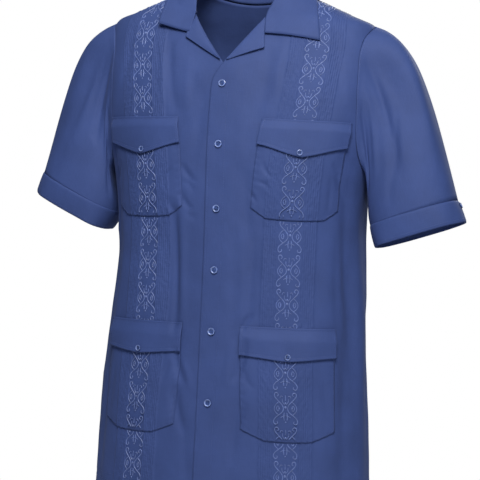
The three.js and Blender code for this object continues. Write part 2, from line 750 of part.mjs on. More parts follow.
function tubeWall(grid, side, thickness) {
  const rows = side > 0 ? grid : grid.map((row) => row.slice().reverse());
  return sheetWall(rows.slice().reverse(), thickness, true);
}

// ---------------------------------------------------------------- pockets and flaps

// Lines across a pocket, as offsets from the strip: the decorated band, and plain cloth
// out to the pocket's own sides, which are a little off the middle of the strip.
function pocketColumns(half, shift, pleated) {
  const plain = (offset) => ({ offset, rise: 0, plain: true });
  const flat = FLAT_BAND_PARTS.map((part) => plain(part * BAND_HALF_WIDTH));
  const sides = (end) => {
    const bandEdge = Math.sign(end) * BAND_HALF_WIDTH;
    return [end, end - POCKET_HEM * Math.sign(end), mix(end, bandEdge, PLAIN_MIDDLE)].map(plain);
  };
  return [...sides(shift - half), ...(pleated ? BAND : flat), ...sides(shift + half).reverse()];
}

const POCKET_LIFT = TUCK_HEIGHT + LAY_GAP;
const FLAP_LIFT = POCKET_LIFT + CLOTH + TUCK_HEIGHT + FLAP_GAP;

// A pocket is square at its top, and its bottom is bowed with cut-off corners.
function pocket(side, size) {
  const columns = pocketColumns(size.half, size.shift, true);
  const bottomOf = (offset) => {
    const fromMiddle = Math.abs(offset - size.shift);
    const run = Math.min((size.half - fromMiddle) / size.cornerRun, 1);
    return size.bottom + size.cornerRise * (1 - run) + size.bow * (fromMiddle / size.half) ** 2;
  };
  const rows = [0, 0.25, 0.5, 0.75, 1];
  const place = (t, { offset }, lift) => {
    const height = mix(bottomOf(offset), size.top, t);
    return bodyPoint(side * bandArc(offset, height), height, lift);
  };
  const outer = rows.map((t) => columns.map((column) => place(t, column, POCKET_LIFT + CLOTH + column.rise)));
  const kept = columns.flatMap((column, c) => (column.plain ? [c] : []));
  const inner = rows.map((t) => kept.map((c) => place(t, columns[c], POCKET_LIFT)));
  return wall(outer, inner, kept);
}

// A flap is sewn along its top and hangs to a shallow point in the middle.
function flap(side, size) {
  const half = size.half + 1;
  const columns = pocketColumns(half, size.shift, false);
  const place = (t, { offset }, thickness) => {
    const point = 1 - Math.abs(offset - size.shift) / half;
    const bottom = mix(size.flapSide, size.flapPoint, mix(point, smooth(0, 1, point), FLAP_ROUNDING));
    const height = mix(bottom, size.flapTop, t);
    const lift = mix(FLAP_LIFT, POCKET_LIFT, smooth(size.top, size.flapTop - FLAP_SEAM, height));
    return bodyPoint(side * bandArc(offset, height), height, lift + thickness);
  };
  const outer = FLAP_ROWS.map((t) => columns.map((column) => place(t, column, DOUBLE_CLOTH)));
  const inner = FLAP_ROWS.map((t) => columns.map((column) => place(t, column, 0)));
  return wall(outer, inner, columns.map((_, c) => c));
}

// ---------------------------------------------------------------- lapels and collar

// A lapel is the front's facing turned out along the roll line. Its rows go up the roll
// line from the top of the lapped edges, and each row runs out to the free edge.
function lapel(side, shape) {
  const corner = { side: shape.cornerSide, height: shape.cornerHeight };
  const top = { side: shape.topSide, height: shape.topHeight };
  const grid = LAPEL_ROWS.map((u) => {
    const height = mix(LAPEL_BOTTOM.height, shape.topHeight, u);
    const roll = { side: read(FRONT_EDGE, 'height', height, 'side') + 1, height };
    const below = u < LAPEL_CORNER_PART;
    const [from, to] = below ? [LAPEL_BOTTOM, corner] : [corner, top];
    const t = below ? u / LAPEL_CORNER_PART : (u - LAPEL_CORNER_PART) / (1 - LAPEL_CORNER_PART);
    const free = { side: mix(from.side, to.side, t), height: mix(from.height, to.height, t) };
    return LAPEL_COLUMNS.map((v) => {
      const place = { side: mix(roll.side, free.side, v), height: mix(roll.height, free.height, v) };
      const lift = LAPEL_LIFT + mix(0, 0.8, v) + LAPEL_BULGE * Math.sin(Math.PI * Math.sqrt(v));
      return bodyPoint(side * arcOfSide(place.side, place.height), place.height, lift);
    });
  });
  return sheetWall(side > 0 ? grid : grid.map((row) => row.slice().reverse()), DOUBLE_CLOTH);
}

function collarPlace(turn, key) {
  return read(COLLAR_TURNS, 'turn', Math.abs(turn), key);
}

function shoulderHeight(x, y) {
  let low = -200;
  let high = 0;
  for (let i = 0; i < 40; i += 1) {
    const middle = (low + high) / 2;
    if (standOff(new THREE.Vector3(x, y, middle)).distance > 0) {
      high = middle;
    } else {
      low = middle;
    }
  }
  return low;
}

function collarFold(turn) {
  const side = Math.sign(turn);
  const at = (key) => collarPlace(turn, key);
  const fold = new THREE.Vector3(side * at('foldX'), at('foldY'), at('foldZ'));
  fold.x += COLLAR_SHIFT;
  fold.z -= SHOULDER_TILT * fold.x;
  return fold;
}

function collarEdge(turn) {
  const name = turn < 0 ? 'right' : 'left';
  const x = Math.sign(turn) * collarPlace(turn, `${name}X`) + COLLAR_SHIFT;
  const y = collarPlace(turn, `${name}Y`);
  const bentUp = turn < 0 ? COLLAR_BEND * smooth(ROLL.flattensFrom, 0.95, -turn) : 0;
  return keepOff(new THREE.Vector3(x, y, shoulderHeight(x, y)), COLLAR_LIFT + bentUp);
}

// The neck seam, a little inside the panels.
function neckSeam(turn) {
  const side = Math.sign(turn) || 1;
  const t = Math.abs(turn);
  const { halfway, frontHeight } = NECK_SEAM;
  const sideways = t < halfway ? NECK_HALF_WIDTH * Math.sin((Math.PI / 2) * (t / halfway)) : null;
  let seam;
  if (sideways !== null) {
    const height = -backNeckDip(sideways);
    const arc = ringAt(height).around - backArcOfSide(sideways, height);
    seam = ringPoint(side * arc, height);
  } else {
    const height = mix(0, frontHeight, (t - halfway) / (GORGE_TURN - halfway));
    seam = ringPoint(side * arcOfSide(read(FRONT_EDGE, 'height', height, 'side'), height), height);
  }
  const inward = new THREE.Vector3(COLLAR_SHIFT - seam.x, -seam.y, 0).normalize();
  return seam.addScaledVector(inward, NECK_SEAM.inward).add(new THREE.Vector3(0, 0, NECK_SEAM.up));
}

function collarRow(turn) {
  const fold = collarFold(turn);
  const edge = collarEdge(turn);
  const gorge = Math.abs(turn) > GORGE_TURN;
  const seam = gorge ? null : neckSeam(turn);
  const outward = edge.clone().sub(fold).setZ(0).normalize();
  const span = fold.distanceTo(edge);
  const rollUp = new THREE.Vector3(0, 0, 1 - smooth(ROLL.flattensFrom, GORGE_TURN, Math.abs(turn)));
  const a = fold.clone().addScaledVector(outward, ROLL.reach * span).addScaledVector(rollUp, ROLL.lift);
  const b = edge.clone().lerp(fold, ROLL.drop).addScaledVector(rollUp, ROLL.dropLift);
  const leaf = [0, 0.12, 0.3, 0.55, 0.78, 1].map((t) => {
    const lift = COLLAR_LIFT + ROLL.bulge * Math.sin(Math.PI * t);
    const point = bezier(fold, a, b, edge, t);
    return t === 0 && !gorge ? point : keepOff(point, lift);
  });
  const stand = [0, 0.5, 0.85].map((t) => (seam ? seam.clone().lerp(fold, t) : null));
  return [...stand, ...leaf];
}

// The collar is one leaf all the way round with a stand under its roll. The stand stops
// where the collar meets the lapels.
function collar() {
  const half = [0, 0.14, 0.28, 0.42, 0.55, 0.68, 0.79, GORGE_TURN, 0.95, 1];
  const turns = [...half.slice(1).reverse().map((t) => -t), ...half];
  const grid = turns.map(collarRow);
  const first = turns.findIndex((t) => t >= -GORGE_TURN);
  const last = turns.length - 1 - first;
  return maskedWall(grid, DOUBLE_CLOTH, (r, c) => c >= 3 || (r >= first && r < last));
}

// A wall behind those cells of a grid that are wanted.
function maskedWall(grid, thickness, wanted) {
  const rows = grid.length;
  const columns = grid[0].length;
  const filled = (r, c) => r >= 0 && c >= 0 && r < rows - 1 && c < columns - 1 && wanted(r, c);
  const vertices = [];
  const triangles = [];
  const outerIndex = new Map();
  const use = (r, c) => {
    const name = r * columns + c;
    if (!outerIndex.has(name)) {
      outerIndex.set(name, vertices.length);
      const near = (dr, dc) => {
        const row = grid[clamp(r + dr, 0, rows - 1)];
        return row[clamp(c + dc, 0, columns - 1)] || grid[r][c];
      };
      const across = near(0, 1).clone().sub(near(0, -1));
      const along = near(1, 0).clone().sub(near(-1, 0));
      const normal = across.cross(along).normalize();
      vertices.push(grid[r][c], grid[r][c].clone().addScaledVector(normal, -thickness));
    }
    return outerIndex.get(name);
  };
  const quad = (a, b, c, d) => triangles.push([a, b, c], [a, c, d]);
  for (let r = 0; r < rows - 1; r += 1) {
    for (let c = 0; c < columns - 1; c += 1) {
      if (filled(r, c)) {
        const [a, b, d, e] = [use(r, c), use(r, c + 1), use(r + 1, c + 1), use(r + 1, c)];
        quad(a, b, d, e);
        quad(a + 1, e + 1, d + 1, b + 1);
        const edges = [[r - 1, c, a, b], [r, c + 1, b, d], [r + 1, c, d, e], [r, c - 1, e, a]];
        for (const [nr, nc, from, to] of edges) {
          if (!filled(nr, nc)) {
            quad(from, from + 1, to + 1, to);
          }
        }
      }
    }
  }
  return solidFrom(vertices, triangles);
}

// ---------------------------------------------------------------- buttons

// A button with a raised rim round a shallow dish, its back at z = 0.
function buttonGeometry({ radius, thickness }) {
  const profile = [
    [0, 0],
    [radius * 0.8, 0],
    [radius, thickness * 0.55],
    [radius * 0.84, thickness],
    [radius * 0.58, thickness * 0.62],
    [0, thickness * 0.62],
  ].map(([x, y]) => new THREE.Vector2(x, y));
  const geometry = new THREE.LatheGeometry(profile, 12);
  geometry.rotateX(Math.PI / 2);
  return geometry;
}

function placeButton(mesh, point, out) {
  mesh.position.copy(point);
  mesh.quaternion.setFromUnitVectors(new THREE.Vector3(0, 0, 1), out);
}

// ---------------------------------------------------------------- materials

const material = (color, roughness) => new THREE.MeshStandardMaterial({ color, roughness, metalness: 0 });
const cloth = material(0x475689, 0.72);
const buttonPlastic = material(0x2f4a80, 0.3);

// ---------------------------------------------------------------- assembly

const shirt = new THREE.Group();

function add(name, geometry, finish = cloth) {
  const mesh = new THREE.Mesh(geometry, finish);
  mesh.name = name;
  shirt.add(mesh);
  return mesh;
}

add('front_left', frontPanel(1));
add('front_right', frontPanel(-1));
add('back', backPanel());
add('collar', collar());

for (const [name, side] of [['left', 1], ['right', -1]]) {
  add(`lapel_${name}`, lapel(side, LAPELS[name]));

  const sleeve = sleeveGrid(SLEEVES[name]);
  add(`sleeve_${name}`, tubeWall(sleeve.grid, side, CLOTH));
  add(`cuff_${name}`, tubeWall(sleeve.cuff, side, DOUBLE_CLOTH));
  const cuffTop = sleeve.cuff[0][0];
  const cuffOut = gridNormals(sleeve.cuff, true)[0][0].multiplyScalar(-side);
  const cuffButton = add(`button_cuff_${name}`, buttonGeometry(SMALL_BUTTON), buttonPlastic);
  const cuffSpot = cuffTop.clone().lerp(sleeve.cuff[2][0], CUFF_BUTTON_PART);
  placeButton(cuffButton, cuffSpot.addScaledVector(cuffOut, LAY_GAP), cuffOut);

  for (const [place, size] of [['chest', CHEST_POCKET], ['lower', LOWER_POCKET]]) {
    add(`pocket_${place}_${name}`, pocket(side, size));
    add(`flap_${place}_${name}`, flap(side, size));
    const height = size.flapPoint + FLAP_BUTTON.rise;
    const arc = side * bandArc(FLAP_BUTTON.shift, height);
    const spot = bodyPoint(arc, height, FLAP_LIFT + DOUBLE_CLOTH + SEAM_GAP);
    const button = add(`button_${place}_${name}`, buttonGeometry(SMALL_BUTTON), buttonPlastic);
    placeButton(button, spot, bodyNormal(arc, height));
  }
}

BUTTON_HEIGHTS.forEach((height, i) => {
  const button = add(`button_front_${i + 1}`, buttonGeometry(FRONT_BUTTON), buttonPlastic);
  const spot = bodyPoint(BUTTON_ARC, height, LAP_LIFT + SEAM_GAP);
  placeButton(button, spot, bodyNormal(BUTTON_ARC, height));
});

export default shirt;
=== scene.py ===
"""A men's short-sleeved guayabera shirt in worn form: tucked fronts, embroidered strips, open collar.

Run as a script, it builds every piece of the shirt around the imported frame, and a plain stage.
The shape is worked out in millimetres and handed to Blender in metres.
"""

import math

import bmesh
import bpy
import numpy as np
from bpy.props import FloatProperty, FloatVectorProperty, IntProperty, PointerProperty
from mathutils import Matrix, Vector


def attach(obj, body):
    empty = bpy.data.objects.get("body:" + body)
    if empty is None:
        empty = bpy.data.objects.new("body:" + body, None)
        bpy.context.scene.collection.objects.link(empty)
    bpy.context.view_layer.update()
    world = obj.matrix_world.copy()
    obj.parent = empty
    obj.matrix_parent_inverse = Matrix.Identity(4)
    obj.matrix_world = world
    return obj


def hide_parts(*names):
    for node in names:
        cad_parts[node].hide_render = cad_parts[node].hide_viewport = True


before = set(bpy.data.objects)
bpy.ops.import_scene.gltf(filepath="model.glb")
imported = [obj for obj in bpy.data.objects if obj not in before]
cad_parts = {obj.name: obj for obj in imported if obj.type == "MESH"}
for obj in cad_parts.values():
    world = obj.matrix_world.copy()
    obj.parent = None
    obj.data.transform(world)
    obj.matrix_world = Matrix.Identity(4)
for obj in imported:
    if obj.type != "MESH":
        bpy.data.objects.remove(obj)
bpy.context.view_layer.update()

bl_info = {
    "name": "Guayabera Shirt",
    "version": (1, 0, 0),
    "blender": (4, 5, 0),
    "location": "View3D > Sidebar > Shirt",
    "description": "Builds a short-sleeved shirt with tucked bands and embroidered strips",
    "category": "Add Mesh",
}

MM = 0.001

# ---------------------------------------------------------------- sizes of the form
SHIRT_LENGTH = 820.0
ARMPIT_HEIGHT = -306.0
SHOULDER_TIP_HEIGHT = -54.0
SHOULDER_TIP_HALF = 219.0
NECK_HALF_WIDTH = 80.0
BACK_NECK_DROP = 14.0

CLOTH = 1.2
DOUBLE_CLOTH = 1.8
SEAM_GAP = 0.3
SIDE_GAP = 0.02
LAY_GAP = 0.6
OVERLAP = 17.0
LAP_START = OVERLAP + 2
LAP_LIFT = CLOTH + LAY_GAP
LAP_FADE = 26.0
LAP_TOP = (-126, -100)

STRIP_HALF_WIDTH = 18.0
TUCK_BAND = 24.0
TUCK_COUNT = 7
TUCK_PITCH = TUCK_BAND / TUCK_COUNT
TUCK_HEIGHT = 0.9
BAND_HALF_WIDTH = STRIP_HALF_WIDTH + TUCK_BAND


def table(columns, rows):
    """Rows of numbers with named columns. The first column is the place they are read at."""
    kinds = [(name, float) for name in columns.split()]
    return np.array([tuple(row) for row in rows], dtype=kinds)


def read(rows, at, column):
    """A column of a table at places between its rows, along one smooth curve."""
    key, value = rows[rows.dtype.names[0]], rows[column]
    at = np.clip(at, key[0], key[-1])
    i = np.clip(np.searchsorted(key, at, side="right") - 1, 0, len(key) - 2)
    index = np.arange(len(key))
    before, after = np.maximum(index - 1, 0), np.minimum(index + 1, len(key) - 1)
    slope = (value[after] - value[before]) / (key[after] - key[before])
    span = key[i + 1] - key[i]
    t = (at - key[i]) / span
    bend = t * t * (3 - 2 * t)
    start = (t ** 3 - 2 * t * t + t) * span * slope[i]
    end = (t ** 3 - t * t) * span * slope[i + 1]
    return value[i] + (value[i + 1] - value[i]) * bend + start + end


def mix(a, b, t):
    """Part of the way t from a to b."""
    return a + (b - a) * t


def smooth(start, end, value):
    """Rises from 0 at start to 1 at end, level at both."""
    t = np.clip((value - start) / (end - start), 0, 1)
    return t * t * (3 - 2 * t)


# The body form is a stack of rings. Each has its half width and its depths in front and behind,
# how square it is, how far it is shifted sideways, and how far it tilts down to the left.
BODY_RINGS = table("height half front back square shift tilt", [
    (-820, 230, 140, 150, 2.25, 0, 0),
    (-700, 223, 136, 144, 2.25, 0, 0),
    (-600, 217, 132, 139, 2.3, 0, 0),
    (-500, 211, 129, 134, 2.3, 0, 0),
    (-420, 207, 128, 131, 2.3, 0, 0),
    (-350, 209, 128, 130, 2.3, -1, 0),
    (-290, 217, 127, 129, 2.35, -2, 0.004),
    (-250, 226, 124, 127, 2.35, -3, 0.008),
    (-200, 232, 118, 122, 2.35, -4, 0.013),
    (-150, 234, 109, 115, 2.35, -5, 0.018),
    (-110, 233, 98, 106, 2.3, -6, 0.022),
    (-80, 229, 86, 94, 2.3, -7, 0.025),
    (-54, SHOULDER_TIP_HALF, 73, 80, 2.25, -7, 0.026),
    (-40, 187, 66, 72, 2.2, -7, 0.026),
    (-26, 155, 60, 65, 2.2, -7, 0.026),
    (-12, 120, 54, 58, 2.2, -7, 0.026),
    (0, NECK_HALF_WIDTH, 46, 50, 2.2, -7, 0.026),
])

# The middle edge of a front, which turns out into the roll line of the lapel.
FRONT_EDGE = table("height side", [
    (-820, -OVERLAP), (-172, -OVERLAP), (-150, -12.5), (-130, 1), (-108, 18),
    (-80, 39), (-50, 60), (-25, 72), (0, NECK_HALF_WIDTH),
])

# How far the armhole is cut in from the side of the body, along the ring.
ARMHOLE = table("height front back", [
    (-306, 0, 0), (-297, 26, 20), (-282, 47, 38), (-256, 63, 50), (-222, 69, 56),
    (-185, 71, 58), (-150, 69, 56), (-110, 61, 50), (-82, 46, 38), (-64, 24, 21), (-54, 0, 0),
])

# How far the rows of a panel follow the slope of the shoulder at each level.
PANEL_ROWS = table("level follow", [
    (-820, 0), (-345, 0), (-306, 0), (-290, 0.02), (-266, 0.05), (-228, 0.12), (-178, 0.24),
    (-130, 0.4), (-100, 0.55), (-72, 0.7), (-48, 0.82), (-28, 0.91), (-13, 0.96), (-4, 0.99), (0, 1),
])

# The middle of the embroidered strip.
STRIP_CENTRE = table("height side", [
    (-820, 128), (-700, 124), (-600, 119), (-450, 117), (-350, 119),
    (-270, 126), (-200, 136), (-100, 146), (-50, 142), (0, 138),
])

BODY_FOLDS = [
    # arc, from, end arc, to, width, rise
    (-80, -370, -76, -545, 13, -4),
    (228, -385, 236, -700, 20, -7),
    (262, -400, 268, -800, 18, 5),
    (-232, -400, -240, -640, 22, -6),
    (-268, -440, -262, -800, 20, 5),
    (430, -330, 452, -790, 26, -8),
    (-425, -350, -446, -770, 26, -8),
    (500, -430, 512, -820, 24, 6),
    (-496, -460, -516, -820, 24, 6),
]

# The rings are measured once, on even heights.
LEVEL_STEP = 2.0
LEVELS = np.arange(-SHIRT_LENGTH, 0.1, LEVEL_STEP)
RING_STEPS = 90
SPREAD = 200


def measure_rings():
    """Arcs to the side and to the back's middle, and places along each half of every ring."""
    angle = (math.pi / 2) * np.arange(2 * RING_STEPS + 1) / RING_STEPS
    power = 2 / read(BODY_RINGS, LEVELS, "square")[:, None]
    half = read(BODY_RINGS, LEVELS, "half")[:, None]
    front = read(BODY_RINGS, LEVELS, "front")[:, None]
    back = read(BODY_RINGS, LEVELS, "back")[:, None]
    depth = np.where(np.arange(2 * RING_STEPS + 1) <= RING_STEPS, front, back)
    cos = np.cos(angle)
    cos[RING_STEPS] = 0
    sin = np.abs(np.sin(angle))
    sin[-1] = 0
    x = half * sin ** power
    y = -depth * np.sign(cos) * np.abs(cos) ** power
    arc = np.concatenate([np.zeros((len(LEVELS), 1)), np.cumsum(np.hypot(np.diff(x), np.diff(y)), 1)], 1)
    side, around = arc[:, RING_STEPS], arc[:, -1]
    part = np.linspace(0, 1, SPREAD + 1)
    halves = []
    spans = ((0, RING_STEPS, 0 * side, side), (RING_STEPS, 2 * RING_STEPS, side, around))
    for first, last, start, end in spans:
        rows = []
        for k in range(len(LEVELS)):
            at = start[k] + part * (end[k] - start[k])
            piece = slice(first, last + 1)
            rows.append([np.interp(at, arc[k, piece], line[k, piece]) for line in (x, y)])
        halves.append(np.array(rows))
    return side, around, halves[0], halves[1]


SIDE_ARCS, AROUND_ARCS, FRONT_HALF, BACK_HALF = measure_rings()


def level_place(height):
    """The measured level below a height, and the part of a step above it."""
    at = (np.clip(height, -SHIRT_LENGTH, 0) + SHIRT_LENGTH) / LEVEL_STEP
    k = np.clip(at.astype(int), 0, len(LEVELS) - 2)
    return k, at - k


def side_arc(height):
    """The arc from the middle of the front to the side."""
    return np.interp(height, LEVELS, SIDE_ARCS)


def around_arc(height):
    """The arc from the middle of the front round to the middle of the back."""
    return np.interp(height, LEVELS, AROUND_ARCS)


def bilinear(grid, k, part, u):
    """A place between two measured levels, at a part u of the way along both."""
    at = np.clip(u, 0, 1) * SPREAD
    m = np.clip(at.astype(int), 0, SPREAD - 1)
    t = at - m
    low = mix(grid[k, :, m], grid[k, :, m + 1], t[..., None])
    high = mix(grid[k + 1, :, m], grid[k + 1, :, m + 1], t[..., None])
    return mix(low, high, part[..., None])


def ring_point(arc, height):
    """The place on the bare body form."""
    arc, height = np.broadcast_arrays(np.asarray(arc, float), np.asarray(height, float))
    k, part = level_place(height)
    side, around = side_arc(height), around_arc(height)
    size = np.abs(arc)
    front = bilinear(FRONT_HALF, k, part, size / side)
    back = bilinear(BACK_HALF, k, part, (size - side) / (around - side))
    place = np.where((size <= side)[..., None], front, back)
    x = place[..., 0] * np.where(arc < 0, -1, 1)
    z = height - read(BODY_RINGS, height, "tilt") * x
    return np.stack([x + read(BODY_RINGS, height, "shift"), place[..., 1], z], -1)


def unit(v):
    """Directions one unit long."""
    return v / np.maximum(np.linalg.norm(v, axis=-1, keepdims=True), 1e-9)


NORMAL_STEP = 1.5


def body_normal(arc, height):
    """The direction straight out of the bare body form."""
    top = np.minimum(height + NORMAL_STEP, 0)
    across = ring_point(arc + NORMAL_STEP, height) - ring_point(arc - NORMAL_STEP, height)
    up = ring_point(arc, top) - ring_point(arc, top - 2 * NORMAL_STEP)
    return unit(np.cross(across, up))


def fold_rise(arc, height):
    """The rise of the broad folds, which the frame's solids have too."""
    rise = 0
    for start, top, end, bottom, width, size in BODY_FOLDS:
        t = np.clip((height - top) / (bottom - top), 0, 1)
        offset = (arc - mix(start, end, t)) / width
        rise = rise + size * np.sin(np.pi * t) ** 0.7 * np.exp(-offset * offset)
    return rise


def solve(low, high, below, steps=26):
    """Halves a span until it closes on the place where below() stops being true."""
    for _ in range(steps):
        middle = (low + high) / 2
        under = below(middle)
        low, high = np.where(under, middle, low), np.where(under, high, middle)
    return (low + high) / 2


def bare_side(arc, height):
    """How far sideways an arc reaches, with no shift of the ring."""
    return ring_point(arc, height)[..., 0] - read(BODY_RINGS, height, "shift")


def arc_of_side(side, height):
    """The arc at which the front half of a ring reaches a sideways distance."""
    side, height = np.broadcast_arrays(np.asarray(side, float), np.asarray(height, float))
    size = np.abs(side)
    found = solve(np.zeros_like(size), side_arc(height), lambda arc: bare_side(arc, height) < size)
    return np.where(side < 0, -1, 1) * found


def back_arc_of_side(side, height):
    """The same for the back half, as the whole arc from the middle of the front."""
    side, height = np.broadcast_arrays(np.asarray(side, float), np.asarray(height, float))
    return solve(side_arc(height), around_arc(height), lambda arc: bare_side(arc, height) > np.abs(side))


# Below the first height a band's lines keep their distance along the ring, and above the second
# they keep it sideways.
BAND_LEVELS = (-150, -60)

RIDGE_HEIGHTS = np.arange(SHOULDER_TIP_HEIGHT, 0.01, 0.25)
RIDGE_HALVES = read(BODY_RINGS, RIDGE_HEIGHTS, "half")


def ridge_height(side):
    """The height at which the shoulder's ridge reaches a sideways distance."""
    return np.interp(side, RIDGE_HALVES[::-1], RIDGE_HEIGHTS[::-1])


def band_arc(offset, height):
    """The arc of a line that keeps its distance from the middle of the embroidered strip."""
    centre = read(STRIP_CENTRE, height, "side")
    level = arc_of_side(centre, height) + offset
    half = read(BODY_RINGS, height, "half")
    sloping = arc_of_side(np.minimum(centre + offset, half), height)
    return mix(level, sloping, smooth(*BAND_LEVELS, height))


def row_height(level, follow, side):
    """The height of a panel's row at a distance from the middle."""
    return level + follow * ridge_height(np.minimum(np.abs(side), SHOULDER_TIP_HALF))


def meet(level, follow, top_side, side_of, steps=14):
    """The height at which a panel's row crosses a line whose distance from the middle is side_of."""
    height = row_height(level, follow, top_side)
    for _ in range(steps):
        height = row_height(level, follow, side_of(np.maximum(height, -SHIRT_LENGTH)))
    return height


def armhole_arc(height, part):
    """The arc of the armhole's edge on the front or the back, and of the side seam below it."""
    inset = np.where(height <= ARMPIT_HEIGHT, 0, read(ARMHOLE, height, part))
    sign = -1 if part == "front" else 1
    return side_arc(height) + sign * (inset + SIDE_GAP / 2)


# ---------------------------------------------------------------- creases of the cloth

FRONT_CREASES = [
    # from arc, from height, to arc, to height, bow, width, rise
    # upper chest, wearer's right
    (-96, -86, -74, -214, 5, 9, -2.6),
    (-112, -92, -100, -205, -3, 8, 1.6),
    (-58, -120, -52, -230, 4, 10, 1.6),
    (-30, -170, -44, -300, -5, 12, -1.6),
    # the long fold beside the tucked band, wearer's right
    (-72, -346, -61, -566, -2, 7.5, -5.6),
    (-55, -360, -46, -560, 3, 9, 1.8),
    # crumples beside the chest pocket
    (-60, -292, -34, -322, 3, 5, -3.0),
    (-58, -318, -36, -338, -3, 4.5, -1.7),
    (-60, -338, -38, -366, 3, 5, -2.8),
    (-52, -366, -30, -380, 2, 5, -1.2),
    # beside the lower pocket, wearer's right
    (-58, -580, -40, -640, 4, 7, -3.8),
    (-46, -600, -30, -650, -3, 6, 1.5),
    (-56, -640, -36, -720, 3, 8, -3.6),
    (-34, -690, -28, -800, 2, 10, -1.6),
    # upper chest, wearer's left
    (70, -96, 60, -226, -5, 11, -1.8),
    (96, -70, 92, -212, 3, 8, 1.3),
    (44, -140, 40, -300, 4, 12, 1.5),
    # beside the chest pocket, wearer's left
    (56, -330, 66, -352, 2, 4, -1.8),
    (50, -300, 58, -420, 4, 9, -2.2),
    (38, -380, 46, -540, -4, 10, 1.6),
    (64, -400, 62, -545, 3, 9, -2.0),
    (78, -392, 82, -530, -2, 8, 1.2),
    # beside the lower pocket, wearer's left
    (66, -522, 50, -552, 2, 5, -3.6),
    (58, -560, 42, -632, -4, 7, -4.2),
    (40, -566, 30, -640, 3, 7, 1.6),
    (56, -640, 44, -760, 4, 9, -2.0),
    # the sides, from under the arms
    (214, -306, 226, -520, 6, 13, -4.0),
    (238, -330, 248, -600, -4, 14, 2.2),
    (196, -392, 206, -556, 3, 9, -2.0),
    (212, -560, 222, -800, -5, 14, -3.4),
    (190, -300, 214, -345, 3, 6, -2.0),
    (-214, -306, -224, -500, -6, 13, -3.6),
    (-238, -330, -246, -620, 4, 14, 1.2),
    (-196, -384, -210, -560, -3, 9, -2.2),
    (-206, -566, -224, -810, 5, 14, -4.0),
    (-188, -286, -214, -330, -3, 6, -2.0),
    # drag lines from the shoulders
    (176, -64, 196, -190, 5, 10, -1.6),
    (-172, -64, -192, -186, -5, 10, -1.8),
    (128, -22, 176, -120, 4, 9, 0.9),
    (-128, -22, -170, -110, -4, 9, 0.9),
]

POCKET_CREASES = [
    # on the chest pocket, wearer's left
    (74, -286, 92, -312, 4, 4, -1.7),
    (66, -318, 86, -330, -3, 4, -1.5),
    (90, -300, 78, -346, 4, 5, 1.0),
    (184, -282, 202, -306, 3, 4.5, -1.6),
    (180, -306, 176, -370, -2, 4, -1.3),
    (120, -350, 160, -366, 3, 6, 0.8),
    # on the chest pocket, wearer's right
    (-74, -300, -92, -330, 4, 5, -1.4),
    (-84, -345, -66, -370, 3, 5, -1.4),
    (-178, -290, -190, -350, 3, 6, -1.4),
    # on the lower pockets
    (58, -610, 74, -640, 4, 6, -1.6),
    (64, -660, 54, -706, 3, 6, -1.5),
    (180, -620, 190, -700, -3, 8, -1.4),
    (-60, -606, -78, -640, 4, 6, -1.6),
    (-64, -650, -54, -704, -3, 7, -1.6),
    (-176, -612, -192, -704, 3, 8, -1.6),
]

BACK_CREASES = [
    # arcs run on from the side round to the middle of the back, at about 560
    (372, -92, 410, -250, 8, 14, -2.0),
    (-372, -92, -412, -262, -8, 14, -2.2),
    (470, -60, 486, -260, 5, 16, 1.6),
    (-474, -60, -490, -240, -5, 16, 1.4),
    (330, -300, 380, -400, 8, 11, -2.8),
    (-330, -300, -376, -392, -8, 11, -2.6),
    (390, -380, 400, -640, 8, 16, 3.2),
    (-394, -372, -402, -650, -8, 16, 3.0),
    (452, -420, 470, -810, -6, 18, -3.4),
    (-456, -440, -466, -800, 6, 18, -3.2),
    (520, -360, 528, -700, 6, 16, -2.2),
    (-516, -340, -524, -720, -6, 15, -2.4),
    (330, -420, 336, -700, -5, 13, -3.0),
    (-334, -400, -338, -720, 5, 13, -3.0),
    (300, -330, 306, -520, 4, 11, 2.0),
    (-300, -330, -304, -540, -4, 11, 2.0),
    (424, -560, 410, -815, 5, 14, 2.2),
    (-420, -580, -412, -815, -5, 14, 2.0),
]


WAVER = 0.8
WAVER_TOP = (-8, -60)
SLEEVE_WAVER = 0.5
FOLD_ENDS = 0.7
FOLD_OVERSHOOT = 0.45


def crease_rise(u, v, creases):
    """The rise of the cloth at (u, v) from a list of soft troughs and ridges."""
    rise = np.zeros(np.broadcast(u, v).shape)
    for u0, v0, u1, v1, bow, width, size in creases:
        du, dv = u1 - u0, v1 - v0
        length = math.hypot(du, dv)
        t = np.clip(((u - u0) * du + (v - v0) * dv) / length ** 2, 0, 1)
        across = ((u - u0) * dv - (v - v0) * du) / length - bow * 4 * t * (1 - t)
        q = (across / width) ** 2
        rise += size * np.sin(np.pi * t) ** FOLD_ENDS * (1 - FOLD_OVERSHOOT * q) * np.exp(-q)
    return rise


def waver(u, v, size):
    """A slow unevenness that no cloth is without."""
    return size * (
        np.sin(u / 31 + 0.6 * np.sin(v / 53)) * np.sin(v / 67 + 0.8)
        + 0.6 * np.sin(u / 17 - v / 41 + 1.7)
        + 0.35 * np.sin(u / 9.5 + v / 26) * np.sin(v / 15)
    )


def cloth_place(arc, height, lift=0.0):
    """A place on the shirt's body, creases and all, moved out from it by a lift."""
    arc, height = np.broadcast_arrays(np.asarray(arc, float), np.asarray(height, float))
    base = ring_point(arc, height)
    rise = fold_rise(arc, height)
    along = base[..., 0] + 0.7 * base[..., 1]
    rise = rise + waver(along, height, WAVER) * smooth(*WAVER_TOP, height)
    rise = rise + crease_rise(arc, height, FRONT_CREASES) + crease_rise(arc, height, BACK_CREASES)
    return base + body_normal(arc, height) * (lift + rise)[..., None]


# ---------------------------------------------------------------- building meshes

